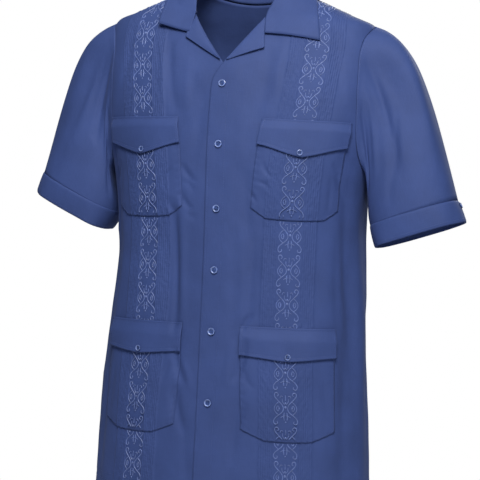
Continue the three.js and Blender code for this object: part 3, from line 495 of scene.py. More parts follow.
def grid_faces(rows, columns, closed):
    """The four-sided faces of a grid, by the numbers of their corners."""
    c = np.arange(columns if closed else columns - 1)
    r = np.arange(rows - 1)[:, None]
    a = r * columns + c
    b = r * columns + (c + 1) % columns
    return np.stack([a, b, b + columns, a + columns], -1).reshape(-1, 4)


def grid_mesh(name, grid, uv, flip=False, closed=False, kept=None):
    """A mesh through a grid of points in millimetres, with a map of its own lengths."""
    rows, columns = grid.shape[:2]
    faces = grid_faces(rows, columns, closed)
    if kept is not None:
        faces = faces[kept.reshape(-1)]
    if flip:
        faces = faces[:, ::-1]
    mesh = bpy.data.meshes.new(name)
    mesh.from_pydata((grid.reshape(-1, 3) * MM).tolist(), [], faces.tolist())
    layer = mesh.uv_layers.new(name="cloth")
    index = np.empty(len(mesh.loops), int)
    mesh.loops.foreach_get("vertex_index", index)
    coords = (uv.reshape(-1, 2) * MM)[index]
    if closed:
        first = coords.reshape(-1, 4, 2)
        width = uv[..., 0].max() * MM
        wrapped = first[..., 0].max(1) - first[..., 0].min(1) > width / 2
        low = first[..., 0] < width / 2
        first[..., 0] += np.where(wrapped[:, None] & low, width, 0)
        coords = first.reshape(-1, 2)
    layer.data.foreach_set("uv", coords.reshape(-1))
    mesh.polygons.foreach_set("use_smooth", np.ones(len(mesh.polygons), bool))
    mesh.update()
    return mesh


def place_object(name, mesh):
    """An object of a mesh, in the scene."""
    piece = bpy.data.objects.new(name, mesh)
    bpy.context.scene.collection.objects.link(piece)
    return piece


def drop_loose(mesh):
    """Takes away the points that no face uses."""
    shape = bmesh.new()
    shape.from_mesh(mesh)
    loose = [v for v in shape.verts if not v.link_faces]
    bmesh.ops.delete(shape, geom=loose, context="VERTS")
    shape.to_mesh(mesh)
    shape.free()


def cloth_piece(name, grid, uv, materials, thickness, flip=False, closed=False, kept=None, faces=None):
    """A sheet of cloth as one piece of the shirt, with its thickness on the inner side."""
    mesh = grid_mesh(name, grid, uv, flip, closed, kept)
    if kept is not None:
        drop_loose(mesh)
    for material in materials:
        mesh.materials.append(material)
    if faces is not None:
        mesh.polygons.foreach_set("material_index", faces.reshape(-1).astype(np.int32))
    piece = place_object(name, mesh)
    shell = piece.modifiers.new("Thickness", "SOLIDIFY")
    shell.thickness = thickness * MM
    shell.offset = -1.0
    shell.use_quality_normals = True
    return piece


def lengths_along(grid, axis):
    """Running lengths of a grid of points along its rows (axis 1) or columns (axis 0)."""
    steps = np.linalg.norm(np.diff(grid, axis=axis), axis=-1)
    zero = np.zeros_like(np.take(steps, [0], axis=axis))
    return np.concatenate([zero, np.cumsum(steps, axis=axis)], axis=axis)


def own_map(grid):
    """A map of a grid in its own lengths."""
    return np.stack([lengths_along(grid, 1), lengths_along(grid, 0)], -1)


def hand_over(piece, slot, *nodes):
    """Puts a finished piece on the frame, in place of the frame's own solids."""
    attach(piece, "root")
    if nodes:
        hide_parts(*nodes)
    return piece


# ---------------------------------------------------------------- fronts and back

# One tuck across its width: it rises fast to its fold and lies down slowly.
TUCK_SHAPE = table("part rise", [(0, 0), (0.22, 1), (0.5, 0.92), (0.8, 0.55), (1, 0)])


def tuck_rise(offset):
    """The rise of the narrow tucks at an offset from the middle of the strip."""
    within = (np.abs(offset) - STRIP_HALF_WIDTH) / TUCK_PITCH
    inside = (within >= 0) & (within <= TUCK_COUNT)
    part = within - np.floor(within)
    return np.where(inside, TUCK_HEIGHT * np.interp(part, TUCK_SHAPE["part"], TUCK_SHAPE["rise"]), 0)


def uneven_tuck(offset, height):
    """Stitched tucks pucker, so each one swells and sinks along its length in its own way."""
    own = np.floor(np.abs(offset) / TUCK_PITCH) * 1.9 + np.sign(offset)
    return 0.82 + 0.26 * np.sin(height / 2.6 + own * 2.1) + 0.22 * np.sin(height / 7.3 + own)


def band_offsets():
    """Offsets across the decorated band, with a point at every turn of the tucks."""
    tucks = [STRIP_HALF_WIDTH + (k + part) * TUCK_PITCH
             for k in range(TUCK_COUNT) for part in TUCK_SHAPE["part"][:-1]]
    tucks.append(BAND_HALF_WIDTH)
    strip = np.linspace(-STRIP_HALF_WIDTH, STRIP_HALF_WIDTH, 9)[1:-1]
    return np.array([-x for x in reversed(tucks)] + list(strip) + tucks)


FRONT_ROWS = 220
PLAIN_COLUMNS = 30
SIDE_COLUMNS = 34
BACK_FOLLOWS = (0.3, 0.8)
FRONT_FOLLOWS = (0.9, 1)


def panel_levels(count):
    """Even levels up a panel, and how far the row at each follows the shoulder."""
    level = -SHIRT_LENGTH * (1 - np.linspace(0, 1, count))
    return level, read(PANEL_ROWS, level, "follow")


def front_grid():
    """Arcs and heights over a front, from its middle edge out to the armhole and side."""
    level, follow = panel_levels(FRONT_ROWS)
    inner = meet(level, follow, 0, lambda z: np.maximum(read(FRONT_EDGE, z, "side"), 0))
    outer = meet(level, follow, SHOULDER_TIP_HALF, lambda z: bare_side(armhole_arc(z, "front"), z))
    start_arc = arc_of_side(read(FRONT_EDGE, inner, "side"), inner)
    end_arc = armhole_arc(outer, "front")
    offset = band_offsets()
    top = float(STRIP_CENTRE["side"][-1])
    band_height = meet(
        level[:, None], follow[:, None], top + offset[None, :],
        lambda z: bare_side(band_arc(offset[None, :], z), z),
    )
    band = np.minimum(band_arc(offset[None, :], band_height), side_arc(band_height) - SIDE_GAP / 2)

    def between(arc0, height0, arc1, height1, parts):
        t = parts[None, :]
        side0, side1 = bare_side(np.abs(arc0), height0) * np.sign(arc0), bare_side(arc1, height1)
        side = mix(side0[:, None], side1[:, None], t)
        height = row_height(level[:, None], follow[:, None], side)
        level_arc = mix(arc0[:, None], arc1[:, None], t)
        sloping = arc_of_side(np.maximum(side, 0), height)
        return mix(level_arc, sloping, smooth(*FRONT_FOLLOWS, follow)[:, None]), height

    plain_parts = np.linspace(0, 1, PLAIN_COLUMNS + 1)[1:-1] ** 1.15
    plain = between(start_arc, inner, band[:, 0], band_height[:, 0], plain_parts)
    side_parts = np.linspace(0, 1, SIDE_COLUMNS + 1)[1:-1]
    outside = between(band[:, -1], band_height[:, -1], end_arc, outer, side_parts)
    arc = np.concatenate([start_arc[:, None], plain[0], band, outside[0], end_arc[:, None]], 1)
    height = np.concatenate([inner[:, None], plain[1], band_height, outside[1], outer[:, None]], 1)
    rise = np.zeros(arc.shape)
    first = PLAIN_COLUMNS
    rise[:, first:first + len(offset)] = tuck_rise(offset) * uneven_tuck(offset[None, :], band_height)
    tucked = np.zeros((arc.shape[0] - 1, arc.shape[1] - 1), int)
    near = np.abs((offset[:-1] + offset[1:]) / 2) > STRIP_HALF_WIDTH
    tucked[:, first:first + len(offset) - 1] = near
    return arc, height, rise, tucked


def lap_lift(side, arc, height):
    """The left front laps over the right one, so it is lifted near the middle."""
    if side < 0:
        return 0
    near = 1 - smooth(LAP_START, LAP_START + LAP_FADE, arc)
    return LAP_LIFT * near * (1 - smooth(*LAP_TOP, height))


def back_side_arc(height):
    """The arc of the back's outer edge."""
    return armhole_arc(height, "back")


def back_neck_dip(side):
    """How far the back's neckline dips below the shoulder ridge."""
    part = np.clip(side / NECK_HALF_WIDTH, 0, 1)
    return BACK_NECK_DROP * (1 - part * part)


def back_grid(rows, columns):
    """Signed arcs and heights over the back, from its right side round to its left."""
    level, follow = panel_levels(rows)
    outer = meet(level, follow, SHOULDER_TIP_HALF, lambda z: bare_side(back_side_arc(z), z))
    edge_side = bare_side(back_side_arc(outer), outer)
    part = np.linspace(-1, 1, columns)
    size = np.abs(part)[None, :]
    side = size * edge_side[:, None]
    height = row_height(level[:, None], follow[:, None], side) - follow[:, None] * back_neck_dip(side)
    around = around_arc(height)
    level_arc = around - size * (around - back_side_arc(height))
    sloping = back_arc_of_side(side, height)
    arc = mix(level_arc, sloping, smooth(*BACK_FOLLOWS, follow)[:, None])
    arc = np.maximum(arc, back_side_arc(height))
    arc[:, [0, -1]] = back_side_arc(outer)[:, None]
    height[:, [0, -1]] = outer[:, None]
    return arc * np.where(part < 0, -1, 1), height


# ---------------------------------------------------------------- sleeves and cuffs

# Each sleeve hangs from its armhole to its hem ring, whose outer and inner ends are given as
# sideways place and height. corner is where the shoulder line turns down the arm.
SLEEVES = {
    "left": {
        "side": 1, "outer": (369, -369), "inner": (232, -414), "middle": -7, "half_depth": 58,
        "corner": (284, -84), "seam_scale": 0.985, "hem_scale": 1.02,
    },
    "right": {
        "side": -1, "outer": (-361, -339), "inner": (-233, -401), "middle": -2, "half_depth": 57,
        "corner": (-305, -85), "seam_scale": 1.05, "hem_scale": 1.0,
    },
}
SLEEVE_SQUARENESS = 2.5
SLEEVE_ROWS = 64
ARMHOLE_STEPS = 160
CORNER_PULL = 0.85
CUFF_DEPTH = 35.0
CUFF_LAP = 1.2
CUFF_EASE = (0.016, 0.006)
CUFF_WAVES = ((1.5, 3, 0.7), (1.0, 5, 2.2), (0.5, 9, 0))

# The way the sleeve sets out over the shoulder, up to a turn around the arm, and the way it hangs
# under the arm, between two such turns. UNDER_ARM_CLEAR keeps it off the body there.
SHOULDER_RUN = (0.91, 0.41)
SHOULDER_END = 0.16
UNDER_ARM_RUN = (0.55, 0.84)
UNDER_ARM_TURNS = (0.3, 0.46)
UNDER_ARM_CLEAR = 0.8

# The map round an arm, and down a sleeve, that its creases are placed on.
ARM_MAP = (400, 240)

# By the turn round the arm, from 0 at the shoulder over 0.5 in the armpit to 1 at the shoulder:
# how far a sleeve sets out from its armhole, and how much of it comes straight down on its cuff.
SLEEVE_REACH = table("turn reach fall", [
    (0, 68, 0.8), (0.25, 42, 0.55), (0.5, 16, 0.4), (0.75, 42, 0.55), (1, 68, 0.8),
])

SLEEVE_CREASES = {
    # from round the arm, from down the sleeve, to round, to down, bow, width, rise
    "left": [
        (56, 14, 98, 200, 10, 9, -4.0),
        (80, 8, 130, 170, 8, 10, 3.0),
        (108, 14, 160, 150, 8, 9, -4.4),
        (24, 60, 40, 220, -6, 14, 2.4),
        (70, 120, 120, 236, 6, 7, -2.4),
        (140, 60, 176, 230, 8, 9, -2.4),
        (330, 20, 300, 200, -8, 12, -3.0),
        (290, 20, 250, 190, -8, 11, 2.4),
        (362, 40, 350, 230, 6, 14, 1.8),
    ],
    "right": [
        (58, 6, 104, 150, 12, 9, -4.6),
        (40, 20, 74, 190, 8, 12, 2.6),
        (92, 14, 140, 150, 8, 9, 3.2),
        (112, 30, 158, 200, 8, 8, -5.0),
        (136, 60, 172, 220, 6, 8, 2.4),
        (30, 60, 36, 230, -6, 14, -1.6),
        (330, 20, 300, 200, -8, 12, -3.0),
        (292, 20, 252, 190, -8, 11, 2.4),
        (364, 40, 352, 230, 6, 14, 1.6),
    ],
}


def armhole_loop(side, count):
    """Places round the armhole from the shoulder down the front, and up the back again."""
    even = np.linspace(0, 1, count + 1)
    level = mix(0, ARMPIT_HEIGHT, even)
    follow = read(PANEL_ROWS, level, "follow")
    arcs, heights = [], []
    for part in ("front", "back"):
        found = meet(level, follow, SHOULDER_TIP_HALF, lambda z: bare_side(armhole_arc(z, part), z))
        arc = armhole_arc(found, part)
        arcs.append(arc)
        heights.append(found)
    arc = np.concatenate([arcs[0], arcs[1][-2:0:-1]]) * side
    height = np.concatenate([heights[0], heights[1][-2:0:-1]])
    return arc, height


def even_loop(points, normals, count):
    """The same closed loop with evenly spaced places."""
    closed = np.concatenate([points, points[:1]])
    facing = np.concatenate([normals, normals[:1]])
    lengths = np.concatenate([[0], np.cumsum(np.linalg.norm(np.diff(closed, axis=0), axis=1))])
    at = np.linspace(0, lengths[-1], count + 1)[:-1]
    even = np.stack([np.interp(at, lengths, closed[:, k]) for k in range(3)], -1)
    out = np.stack([np.interp(at, lengths, facing[:, k]) for k in range(3)], -1)
    low = lengths[np.argmin(points[:, 2])]
    turn = np.where(at <= low, 0.5 * at / low, 1 - 0.5 * (lengths[-1] - at) / (lengths[-1] - low))
    return even, unit(out), turn


def sleeve_frame(shape):
    """The middle of a sleeve's hem, the way out to its outer end, and the way down the arm."""
    side = shape["side"]
    outer = np.array([shape["outer"][0], shape["middle"], shape["outer"][1]], float)
    inner = np.array([shape["inner"][0], shape["middle"], shape["inner"][1]], float)
    centre = (outer + inner) / 2
    wide = outer - centre
    down = unit(np.array([side * wide[2], 0, -side * wide[0]]))
    return centre, wide, down


def ring_end(shape, turn, middle, wide, scale):
    """Places round a ring of the sleeve."""
    angle = 2 * np.pi * turn
    bulge = 2 / SLEEVE_SQUARENESS
    across = np.sign(np.cos(angle)) * np.abs(np.cos(angle)) ** bulge
    depth = np.sign(np.sin(angle)) * np.abs(np.sin(angle)) ** bulge
    end = middle + scale * across[..., None] * wide
    end[..., 1] -= scale * shape["half_depth"] * depth
    return end


def sleeve_grid(name, around):
    """The sleeve's rings from the armhole down to the cuff seam, and the turn of each column."""
    shape = SLEEVES[name]
    side = shape["side"]
    arc, height = armhole_loop(side, ARMHOLE_STEPS)
    loop, normal, turn = even_loop(cloth_place(arc, height), body_normal(arc, height), around)
    centre, wide, down = sleeve_frame(shape)
    seam_centre = centre - down * CUFF_DEPTH
    tangent = unit(np.roll(loop, -1, 0) - np.roll(loop, 1, 0))
    onward = unit(np.cross(normal, tangent) * side)
    near = np.minimum(turn, 1 - turn)
    armpit = smooth(*UNDER_ARM_TURNS, near)[:, None]
    shoulder = 1 - smooth(0, SHOULDER_END, near)[:, None]
    run = np.array([SHOULDER_RUN[0] * side, 0, -SHOULDER_RUN[1]])
    droop = np.array([UNDER_ARM_RUN[0] * side, 0, -UNDER_ARM_RUN[1]])
    start = unit(mix(mix(onward, run, shoulder), droop, armpit))
    begin = loop + start * SEAM_GAP
    begin[:, 0] += side * armpit[:, 0] * UNDER_ARM_CLEAR
    finish = ring_end(shape, turn, seam_centre, wide, shape["seam_scale"])
    reach = read(SLEEVE_REACH, turn, "reach")[:, None]
    fall = read(SLEEVE_REACH, turn, "fall")[:, None]
    span = np.linalg.norm(finish - begin, axis=1)[:, None]
    corner = np.zeros_like(begin)
    corner[:, 0], corner[:, 2] = shape["corner"]
    corner[:, 1] = (begin[:, 1] + finish[:, 1]) / 2
    first = mix(begin + start * reach, mix(begin, corner, CORNER_PULL), shoulder)
    second = mix(finish - down * fall * span, mix(finish, corner, CORNER_PULL), shoulder)
    t = np.linspace(0, 1, SLEEVE_ROWS)[:, None, None]
    u = 1 - t
    grid = u ** 3 * begin + 3 * u * u * t * first + 3 * u * t * t * second + t ** 3 * finish
    out = grid_normals(grid, closed=True) * -side
    round_arm = np.broadcast_to(turn * ARM_MAP[0], grid.shape[:2])
    down_arm = np.broadcast_to(t[..., 0] * ARM_MAP[1], grid.shape[:2])
    rise = crease_rise(round_arm, down_arm, SLEEVE_CREASES[name]) + waver(round_arm, down_arm, SLEEVE_WAVER)
    free = smooth(0, 26, down_arm) * (1 - 0.75 * smooth(190, 240, down_arm)) * (1 - 0.6 * armpit[:, 0])
    return grid + out * (rise * free)[..., None], turn


def grid_normals(grid, closed=False):
    """The direction straight off a grid of points at each of them."""
    across = np.roll(grid, -1, 1) - np.roll(grid, 1, 1)
    if not closed:
        across[:, 0] = grid[:, 1] - grid[:, 0]
        across[:, -1] = grid[:, -1] - grid[:, -2]
    along = np.gradient(grid, axis=0)
    return unit(np.cross(along, across))


def cuff_grid(name, around, rows=22):
    """The rings of a turned-up cuff, which waves a little at its free edge."""
    shape = SLEEVES[name]
    centre, wide, down = sleeve_frame(shape)
    seam_centre = centre - down * CUFF_DEPTH
    arc, height = armhole_loop(shape["side"], ARMHOLE_STEPS)
    _, _, turn = even_loop(cloth_place(arc, height), body_normal(arc, height), around)
    t = np.linspace(0, 1, rows)
    scale = mix(shape["seam_scale"] + CUFF_EASE[0], shape["hem_scale"] + CUFF_EASE[1], t)
    middle = seam_centre + down * mix(-CUFF_LAP, CUFF_DEPTH, t)[:, None]
    grid = np.array([ring_end(shape, turn, middle[k], wide, scale[k]) for k in range(rows)])
    out = grid_normals(grid, closed=True) * -shape["side"]
    around_arm = 2 * np.pi * turn
    wave = sum(rise * np.sin(count * around_arm + start) for rise, count, start in CUFF_WAVES)
    swing = t[:, None] * wave + 0.7 * np.sin(np.pi * t)[:, None]
    edge = -0.9 * np.exp(-(t / 0.05) ** 2)[:, None] - 0.8 * np.exp(-((t - 1.0) / 0.05) ** 2)[:, None]
    return grid + out * (swing + edge)[..., None]


def arm_map(grid, turn):
    """A map of a sleeve or cuff: round the arm by turns, and down it in its own lengths."""
    return np.stack([np.broadcast_to(turn * ARM_MAP[0], grid.shape[:2]), lengths_along(grid, 0)], -1)


# ---------------------------------------------------------------- pockets, flaps and lapels

CHEST_POCKET = {
    "top": -236, "bottom": -377, "bow": 5, "corner_rise": 13, "corner_run": 24, "half": 70, "shift": 6,
    "flap_top": -219, "flap_side": -260, "flap_point": -278,
}
LOWER_POCKET = {
    "top": -566, "bottom": -719, "bow": 5, "corner_rise": 12, "corner_run": 38, "half": 75, "shift": 4,
    "flap_top": -543, "flap_side": -588, "flap_point": -595,
}
POCKETS = {"chest": CHEST_POCKET, "lower": LOWER_POCKET}
POCKET_LIFT = TUCK_HEIGHT + LAY_GAP
POCKET_SLACK = 1.2
EDGE_LIFT = 0.5
FLAP_LIFT = POCKET_LIFT + CLOTH + TUCK_HEIGHT + 1.2
FLAP_ROUNDING = 0.45
FLAP_SEAM = 2


def pocket_bottom(size, offset):
    """The height of a pocket's lower edge, with its corners cut off."""
    from_middle = np.abs(offset - size["shift"])
    run = np.minimum((size["half"] - from_middle) / size["corner_run"], 1)
    return size["bottom"] + size["corner_rise"] * (1 - run) + size["bow"] * (from_middle / size["half"]) ** 2


def pocket_grid(side, size, rows=64):
    """A patch pocket: points, and which of its cells are tucked."""
    band = band_offsets()
    low, high = size["shift"] - size["half"], size["shift"] + size["half"]
    left = np.linspace(low, band[0], 12)[:-1]
    right = np.linspace(band[-1], high, 12)[1:]
    offset = np.concatenate([left, band, right])[None, :]
    t = np.linspace(0, 1, rows)[:, None]
    height = mix(pocket_bottom(size, offset), size["top"], t)
    edge = np.minimum(offset - low, high - offset)
    off_bottom = height - pocket_bottom(size, offset)
    held = np.minimum(smooth(0, 16, edge), smooth(0, 16, off_bottom))
    slack = POCKET_SLACK * smooth(0, 40, edge) * smooth(0, 60, off_bottom)
    slack = slack * smooth(0, 60, size["top"] - height)
    arc = side * band_arc(offset, height)
    pucker = 0.22 * np.sin(height / 1.9 + 3 * np.sin(offset / 11)) * (1 - smooth(3, 14, edge))
    pucker = pucker + 0.22 * np.sin(offset / 1.7 + 2 * np.sin(height / 13)) * (1 - smooth(3, 14, off_bottom))
    tucks = tuck_rise(offset) * uneven_tuck(offset, height) * smooth(1, 8, edge)
    lift = mix(EDGE_LIFT, POCKET_LIFT, held) + CLOTH + slack + tucks
    lift = lift + pucker
    lift = lift + crease_rise(arc, height, POCKET_CREASES)
    tucked = np.abs((offset[0, :-1] + offset[0, 1:]) / 2)
    tucked = (tucked > STRIP_HALF_WIDTH) & (tucked < BAND_HALF_WIDTH)
    return cloth_place(arc, height, lift), np.broadcast_to(tucked, (rows - 1, offset.size - 1)).astype(int)


def flap_grid(side, size, rows=30, columns=72):
    """A flap, sewn on along its top and free below, with a shallow rounded point."""
    half = size["half"] + 1
    offset = np.linspace(size["shift"] - half, size["shift"] + half, columns)[None, :]
    t = np.linspace(0, 1, rows)[:, None]
    point = 1 - np.abs(offset - size["shift"]) / half
    bottom = mix(size["flap_side"], size["flap_point"], mix(point, smooth(0, 1, point), FLAP_ROUNDING))
    height = mix(bottom, size["flap_top"], t)
    sewn = smooth(size["top"], size["flap_top"] - FLAP_SEAM, height)
    lift = mix(FLAP_LIFT + DOUBLE_CLOTH, POCKET_LIFT + CLOTH, sewn)
    rolled = (height - bottom) / (size["flap_top"] - bottom)
    lift = lift + 0.8 * np.sin(offset / 23 + 1.2) * (1 - smooth(0, 0.7, rolled))
    lift = lift + 0.5 * (1 - smooth(0, 0.25, rolled)) - 0.3 * np.exp(-((rolled - 0.1) / 0.04) ** 2)
    lift = lift - 0.4 * np.exp(-((rolled - 0.93) / 0.03) ** 2)
    arc = side * band_arc(offset, height)
    return cloth_place(arc, height, lift)


LAPELS = {
    "left": {"side": 1, "corner": (65, -106), "top": (58.5, -52)},
    "right": {"side": -1, "corner": (69, -90), "top": (58, -53)},
}
LAPEL_BOTTOM = (2, -129)
LAPEL_CORNER_PART = 0.55
LAPEL_LIFT = DOUBLE_CLOTH + SEAM_GAP + 0.5


def lapel_grid(shape, rows=44, columns=26):
    """The lapel from its roll line out to its free edge, row by row up the roll line."""
    u = np.linspace(0.04, 0.975, rows)[:, None]
    v = np.linspace(0, 1, columns)[None, :]
    height = mix(LAPEL_BOTTOM[1], shape["top"][1], u)
    roll = read(FRONT_EDGE, height, "side") + 1
    below = u < LAPEL_CORNER_PART
    t = np.where(below, u / LAPEL_CORNER_PART, (u - LAPEL_CORNER_PART) / (1 - LAPEL_CORNER_PART))
    corner, top = shape["corner"], shape["top"]
    edge = [np.where(below, mix(LAPEL_BOTTOM[k], corner[k], t), mix(corner[k], top[k], t)) for k in (0, 1)]
    side = mix(roll, edge[0], v)
    place_height = mix(height, edge[1], v)
    bulge = 1.9 * np.sin(np.pi * np.sqrt(v)) + 1.4 * v * np.sin(np.pi * u)
    lift = LAPEL_LIFT + 0.8 * v + bulge
    return cloth_place(shape["side"] * arc_of_side(side, place_height), place_height, lift)


# ---------------------------------------------------------------- collar

# The collar by the turn round the neck, from 0 at the middle of the back to 1 at the front ends:
# the top of its roll, and the plan of its free edge on the left and on the right.
COLLAR_TURNS = table("turn foldX foldY foldZ leftX leftY rightX rightY", [
    (0, 0, 55, 18, 0, 83, 0, 83),
    (0.14, 28, 51, 18, 48, 80, 48, 80),
    (0.28, 52, 37, 18, 88, 66, 88, 66),
    (0.42, 67, 15, 16, 112, 38, 110, 39),
    (0.55, 71, -10, 9, 122, 8, 115, 10),
    (0.68, 69, -36, -6, 127, -20, 115, -16),
    (0.8, 64, -58, -28, 135, -43, 116, -38),
    (0.89, 60, -75, -50, 142, -59, 117, -55),
    (1, 63, -90, -80, 150, -74, 119, -73),
])
GORGE_TURN = 0.89
SHOULDER_TURN = 0.5
COLLAR_LIFT = 3.4
COLLAR_BULGE = 1.2
COLLAR_BEND = 6.0
COLLAR_SHIFT = -7.0
SHOULDER_TILT = 0.026
NECK_SEAM = {"inward": 2.2, "up": 1.6, "front_height": -50}
ROLL = {"reach": 0.2, "lift": 4, "drop": 0.35, "drop_lift": 5, "flattens_from": 0.6, "bends_until": 0.95}


def stand_off(point):
    """How far points stand off the bare body form, and the direction straight out."""
    def ratio(p):
        height = p[..., 2]
        depth = np.where(p[..., 1] < 0, read(BODY_RINGS, height, "front"), read(BODY_RINGS, height, "back"))
        square = read(BODY_RINGS, height, "square")
        x = np.abs(p[..., 0] - read(BODY_RINGS, height, "shift")) / read(BODY_RINGS, height, "half")
        return (x ** square + (np.abs(p[..., 1]) / depth) ** square) ** (1 / square)

    level = point.copy()
    level[..., 2] += read(BODY_RINGS, point[..., 2], "tilt") * point[..., 0]
    value = ratio(level)
    slope = np.stack([(value - ratio(level - 0.5 * np.eye(3)[k])) / 0.5 for k in range(3)], -1)
    size = np.linalg.norm(slope, axis=-1)
    return (value - 1) / size, slope / size[..., None]


def keep_off(point, clearance):
    """Moves points out until they clear the body form."""
    for _ in range(4):
        distance, out = stand_off(point)
        short = np.where((distance < clearance) & (point[..., 2] <= 0), clearance - distance, 0)
        point = point + out * short[..., None]
    return point


def shoulder_height(x, y):
    """The height of the body form at a place in plan."""
    def above(z):
        return stand_off(np.stack([x, y, z], -1))[0] <= 0
    return solve(np.full(x.shape, -200.0), np.zeros(x.shape), above, 30)


def collar_parts(turn):
    """For turns round the neck: the top of the roll, the free edge and the neck seam."""
    size, side, right = np.abs(turn), np.where(turn < 0, -1, 1), turn < 0

    def at(name):
        return read(COLLAR_TURNS, size, name)

    fold = np.stack([side * at("foldX") + COLLAR_SHIFT, at("foldY"), at("foldZ")], -1)
    fold[..., 2] -= SHOULDER_TILT * fold[..., 0]
    x = side * np.where(right, at("rightX"), at("leftX")) + COLLAR_SHIFT
    y = np.where(right, at("rightY"), at("leftY"))
    bent = np.where(right, COLLAR_BEND * smooth(ROLL["flattens_from"], ROLL["bends_until"], size), 0)
    edge = keep_off(np.stack([x, y, shoulder_height(x, y)], -1), COLLAR_LIFT + bent)

    sideways = NECK_HALF_WIDTH * np.sin((np.pi / 2) * np.minimum(size / SHOULDER_TURN, 1))
    back_height = -back_neck_dip(sideways)
    back_arc = back_arc_of_side(sideways, back_height)
    forward = (size - SHOULDER_TURN) / (GORGE_TURN - SHOULDER_TURN)
    front_height = np.minimum(NECK_SEAM["front_height"] * forward, 0)
    front_arc = arc_of_side(read(FRONT_EDGE, front_height, "side"), front_height)
    behind = size < SHOULDER_TURN
    seam_arc = side * np.where(behind, back_arc, front_arc)
    seam = ring_point(seam_arc, np.where(behind, back_height, front_height))
    inward = np.stack([COLLAR_SHIFT - seam[..., 0], -seam[..., 1], 0 * seam[..., 0]], -1)
    seam = seam + unit(inward) * NECK_SEAM["inward"]
    seam[..., 2] += NECK_SEAM["up"]
    return fold, edge, seam


STAND_STEPS = 8
LEAF_STEPS = 26


def collar_grid(rows=121):
    """The collar from its neck seam over the roll to its free edge, and which cells it has."""
    turn = np.linspace(-1, 1, rows)
    fold, edge, seam = collar_parts(turn)
    size = np.abs(turn)[:, None]
    outward = edge - fold
    outward[:, 2] = 0
    outward = unit(outward)
    span = np.linalg.norm(edge - fold, axis=1)[:, None]
    roll_up = np.array([0, 0, 1]) * (1 - smooth(ROLL["flattens_from"], GORGE_TURN, size))
    first = fold + outward * ROLL["reach"] * span + roll_up * ROLL["lift"]
    second = mix(edge, fold, ROLL["drop"]) + roll_up * ROLL["drop_lift"]
    t = np.linspace(0, 1, LEAF_STEPS)[None, :, None]
    u = 1 - t
    leaf = (u ** 3 * fold[:, None] + 3 * u * u * t * first[:, None]
            + 3 * u * t * t * second[:, None] + t ** 3 * edge[:, None])
    lifted = keep_off(leaf, COLLAR_LIFT + COLLAR_BULGE * np.sin(np.pi * t[..., 0]))
    hold = (t[..., 0] > 0) | (size > GORGE_TURN)
    leaf = np.where(hold[..., None], lifted, leaf)
    s = np.linspace(0, 1, STAND_STEPS + 1)[None, :-1, None]
    stand = mix(seam[:, None], fold[:, None], s)
    grid = np.concatenate([stand, leaf], 1)
    cells = np.ones((rows - 1, grid.shape[1] - 1), bool)
    middle = np.abs((turn[:-1] + turn[1:]) / 2)
    cells[middle > GORGE_TURN, :STAND_STEPS] = False
    return grid, cells


# ---------------------------------------------------------------- node trees

def wire(tree, kind, place=(0, 0), settings=None, **inputs):
    """Adds a node, sets its properties and inputs, and links any input given as a socket."""
    node = tree.nodes.new(kind)
    node.location = (place[0] * 200, place[1] * 160)
    for name, value in (settings or {}).items():
        setattr(node, name, value)
    for name, value in inputs.items():
        key = int(name[1:]) if name[0] == "i" and name[1:].isdigit() else name.replace("_", " ")
        socket = node.inputs[key]
        if isinstance(value, bpy.types.NodeSocket):
            tree.links.new(value, socket)
        else:
            socket.default_value = value
    return node


def math_node(tree, operation, a, b=0.0, place=(0, 0)):
    """A Math node of two inputs, as the socket of its result."""
    return wire(tree, "ShaderNodeMath", place, {"operation": operation}, i0=a, i1=b).outputs[0]


def new_material(name):
    """An empty material with one shader."""
    material = bpy.data.materials.new(name)
    material.use_nodes = True
    tree = material.node_tree
    tree.nodes.clear()
    out = wire(tree, "ShaderNodeOutputMaterial", (8, 0))
    shader = wire(tree, "ShaderNodeBsdfPrincipled", (6, 0))
    tree.links.new(shader.outputs[0], out.inputs["Surface"])
    return material, tree, shader


def set_ramp(ramp, colour, dark, light):
    """Sets a ramp's two ends, each a place and a share of the colour's strength."""
    for element, (place, share) in zip(ramp.color_ramp.elements, (dark, light)):
        element.position = place
        element.color = (*[min(c * share, 1) for c in colour], 1)


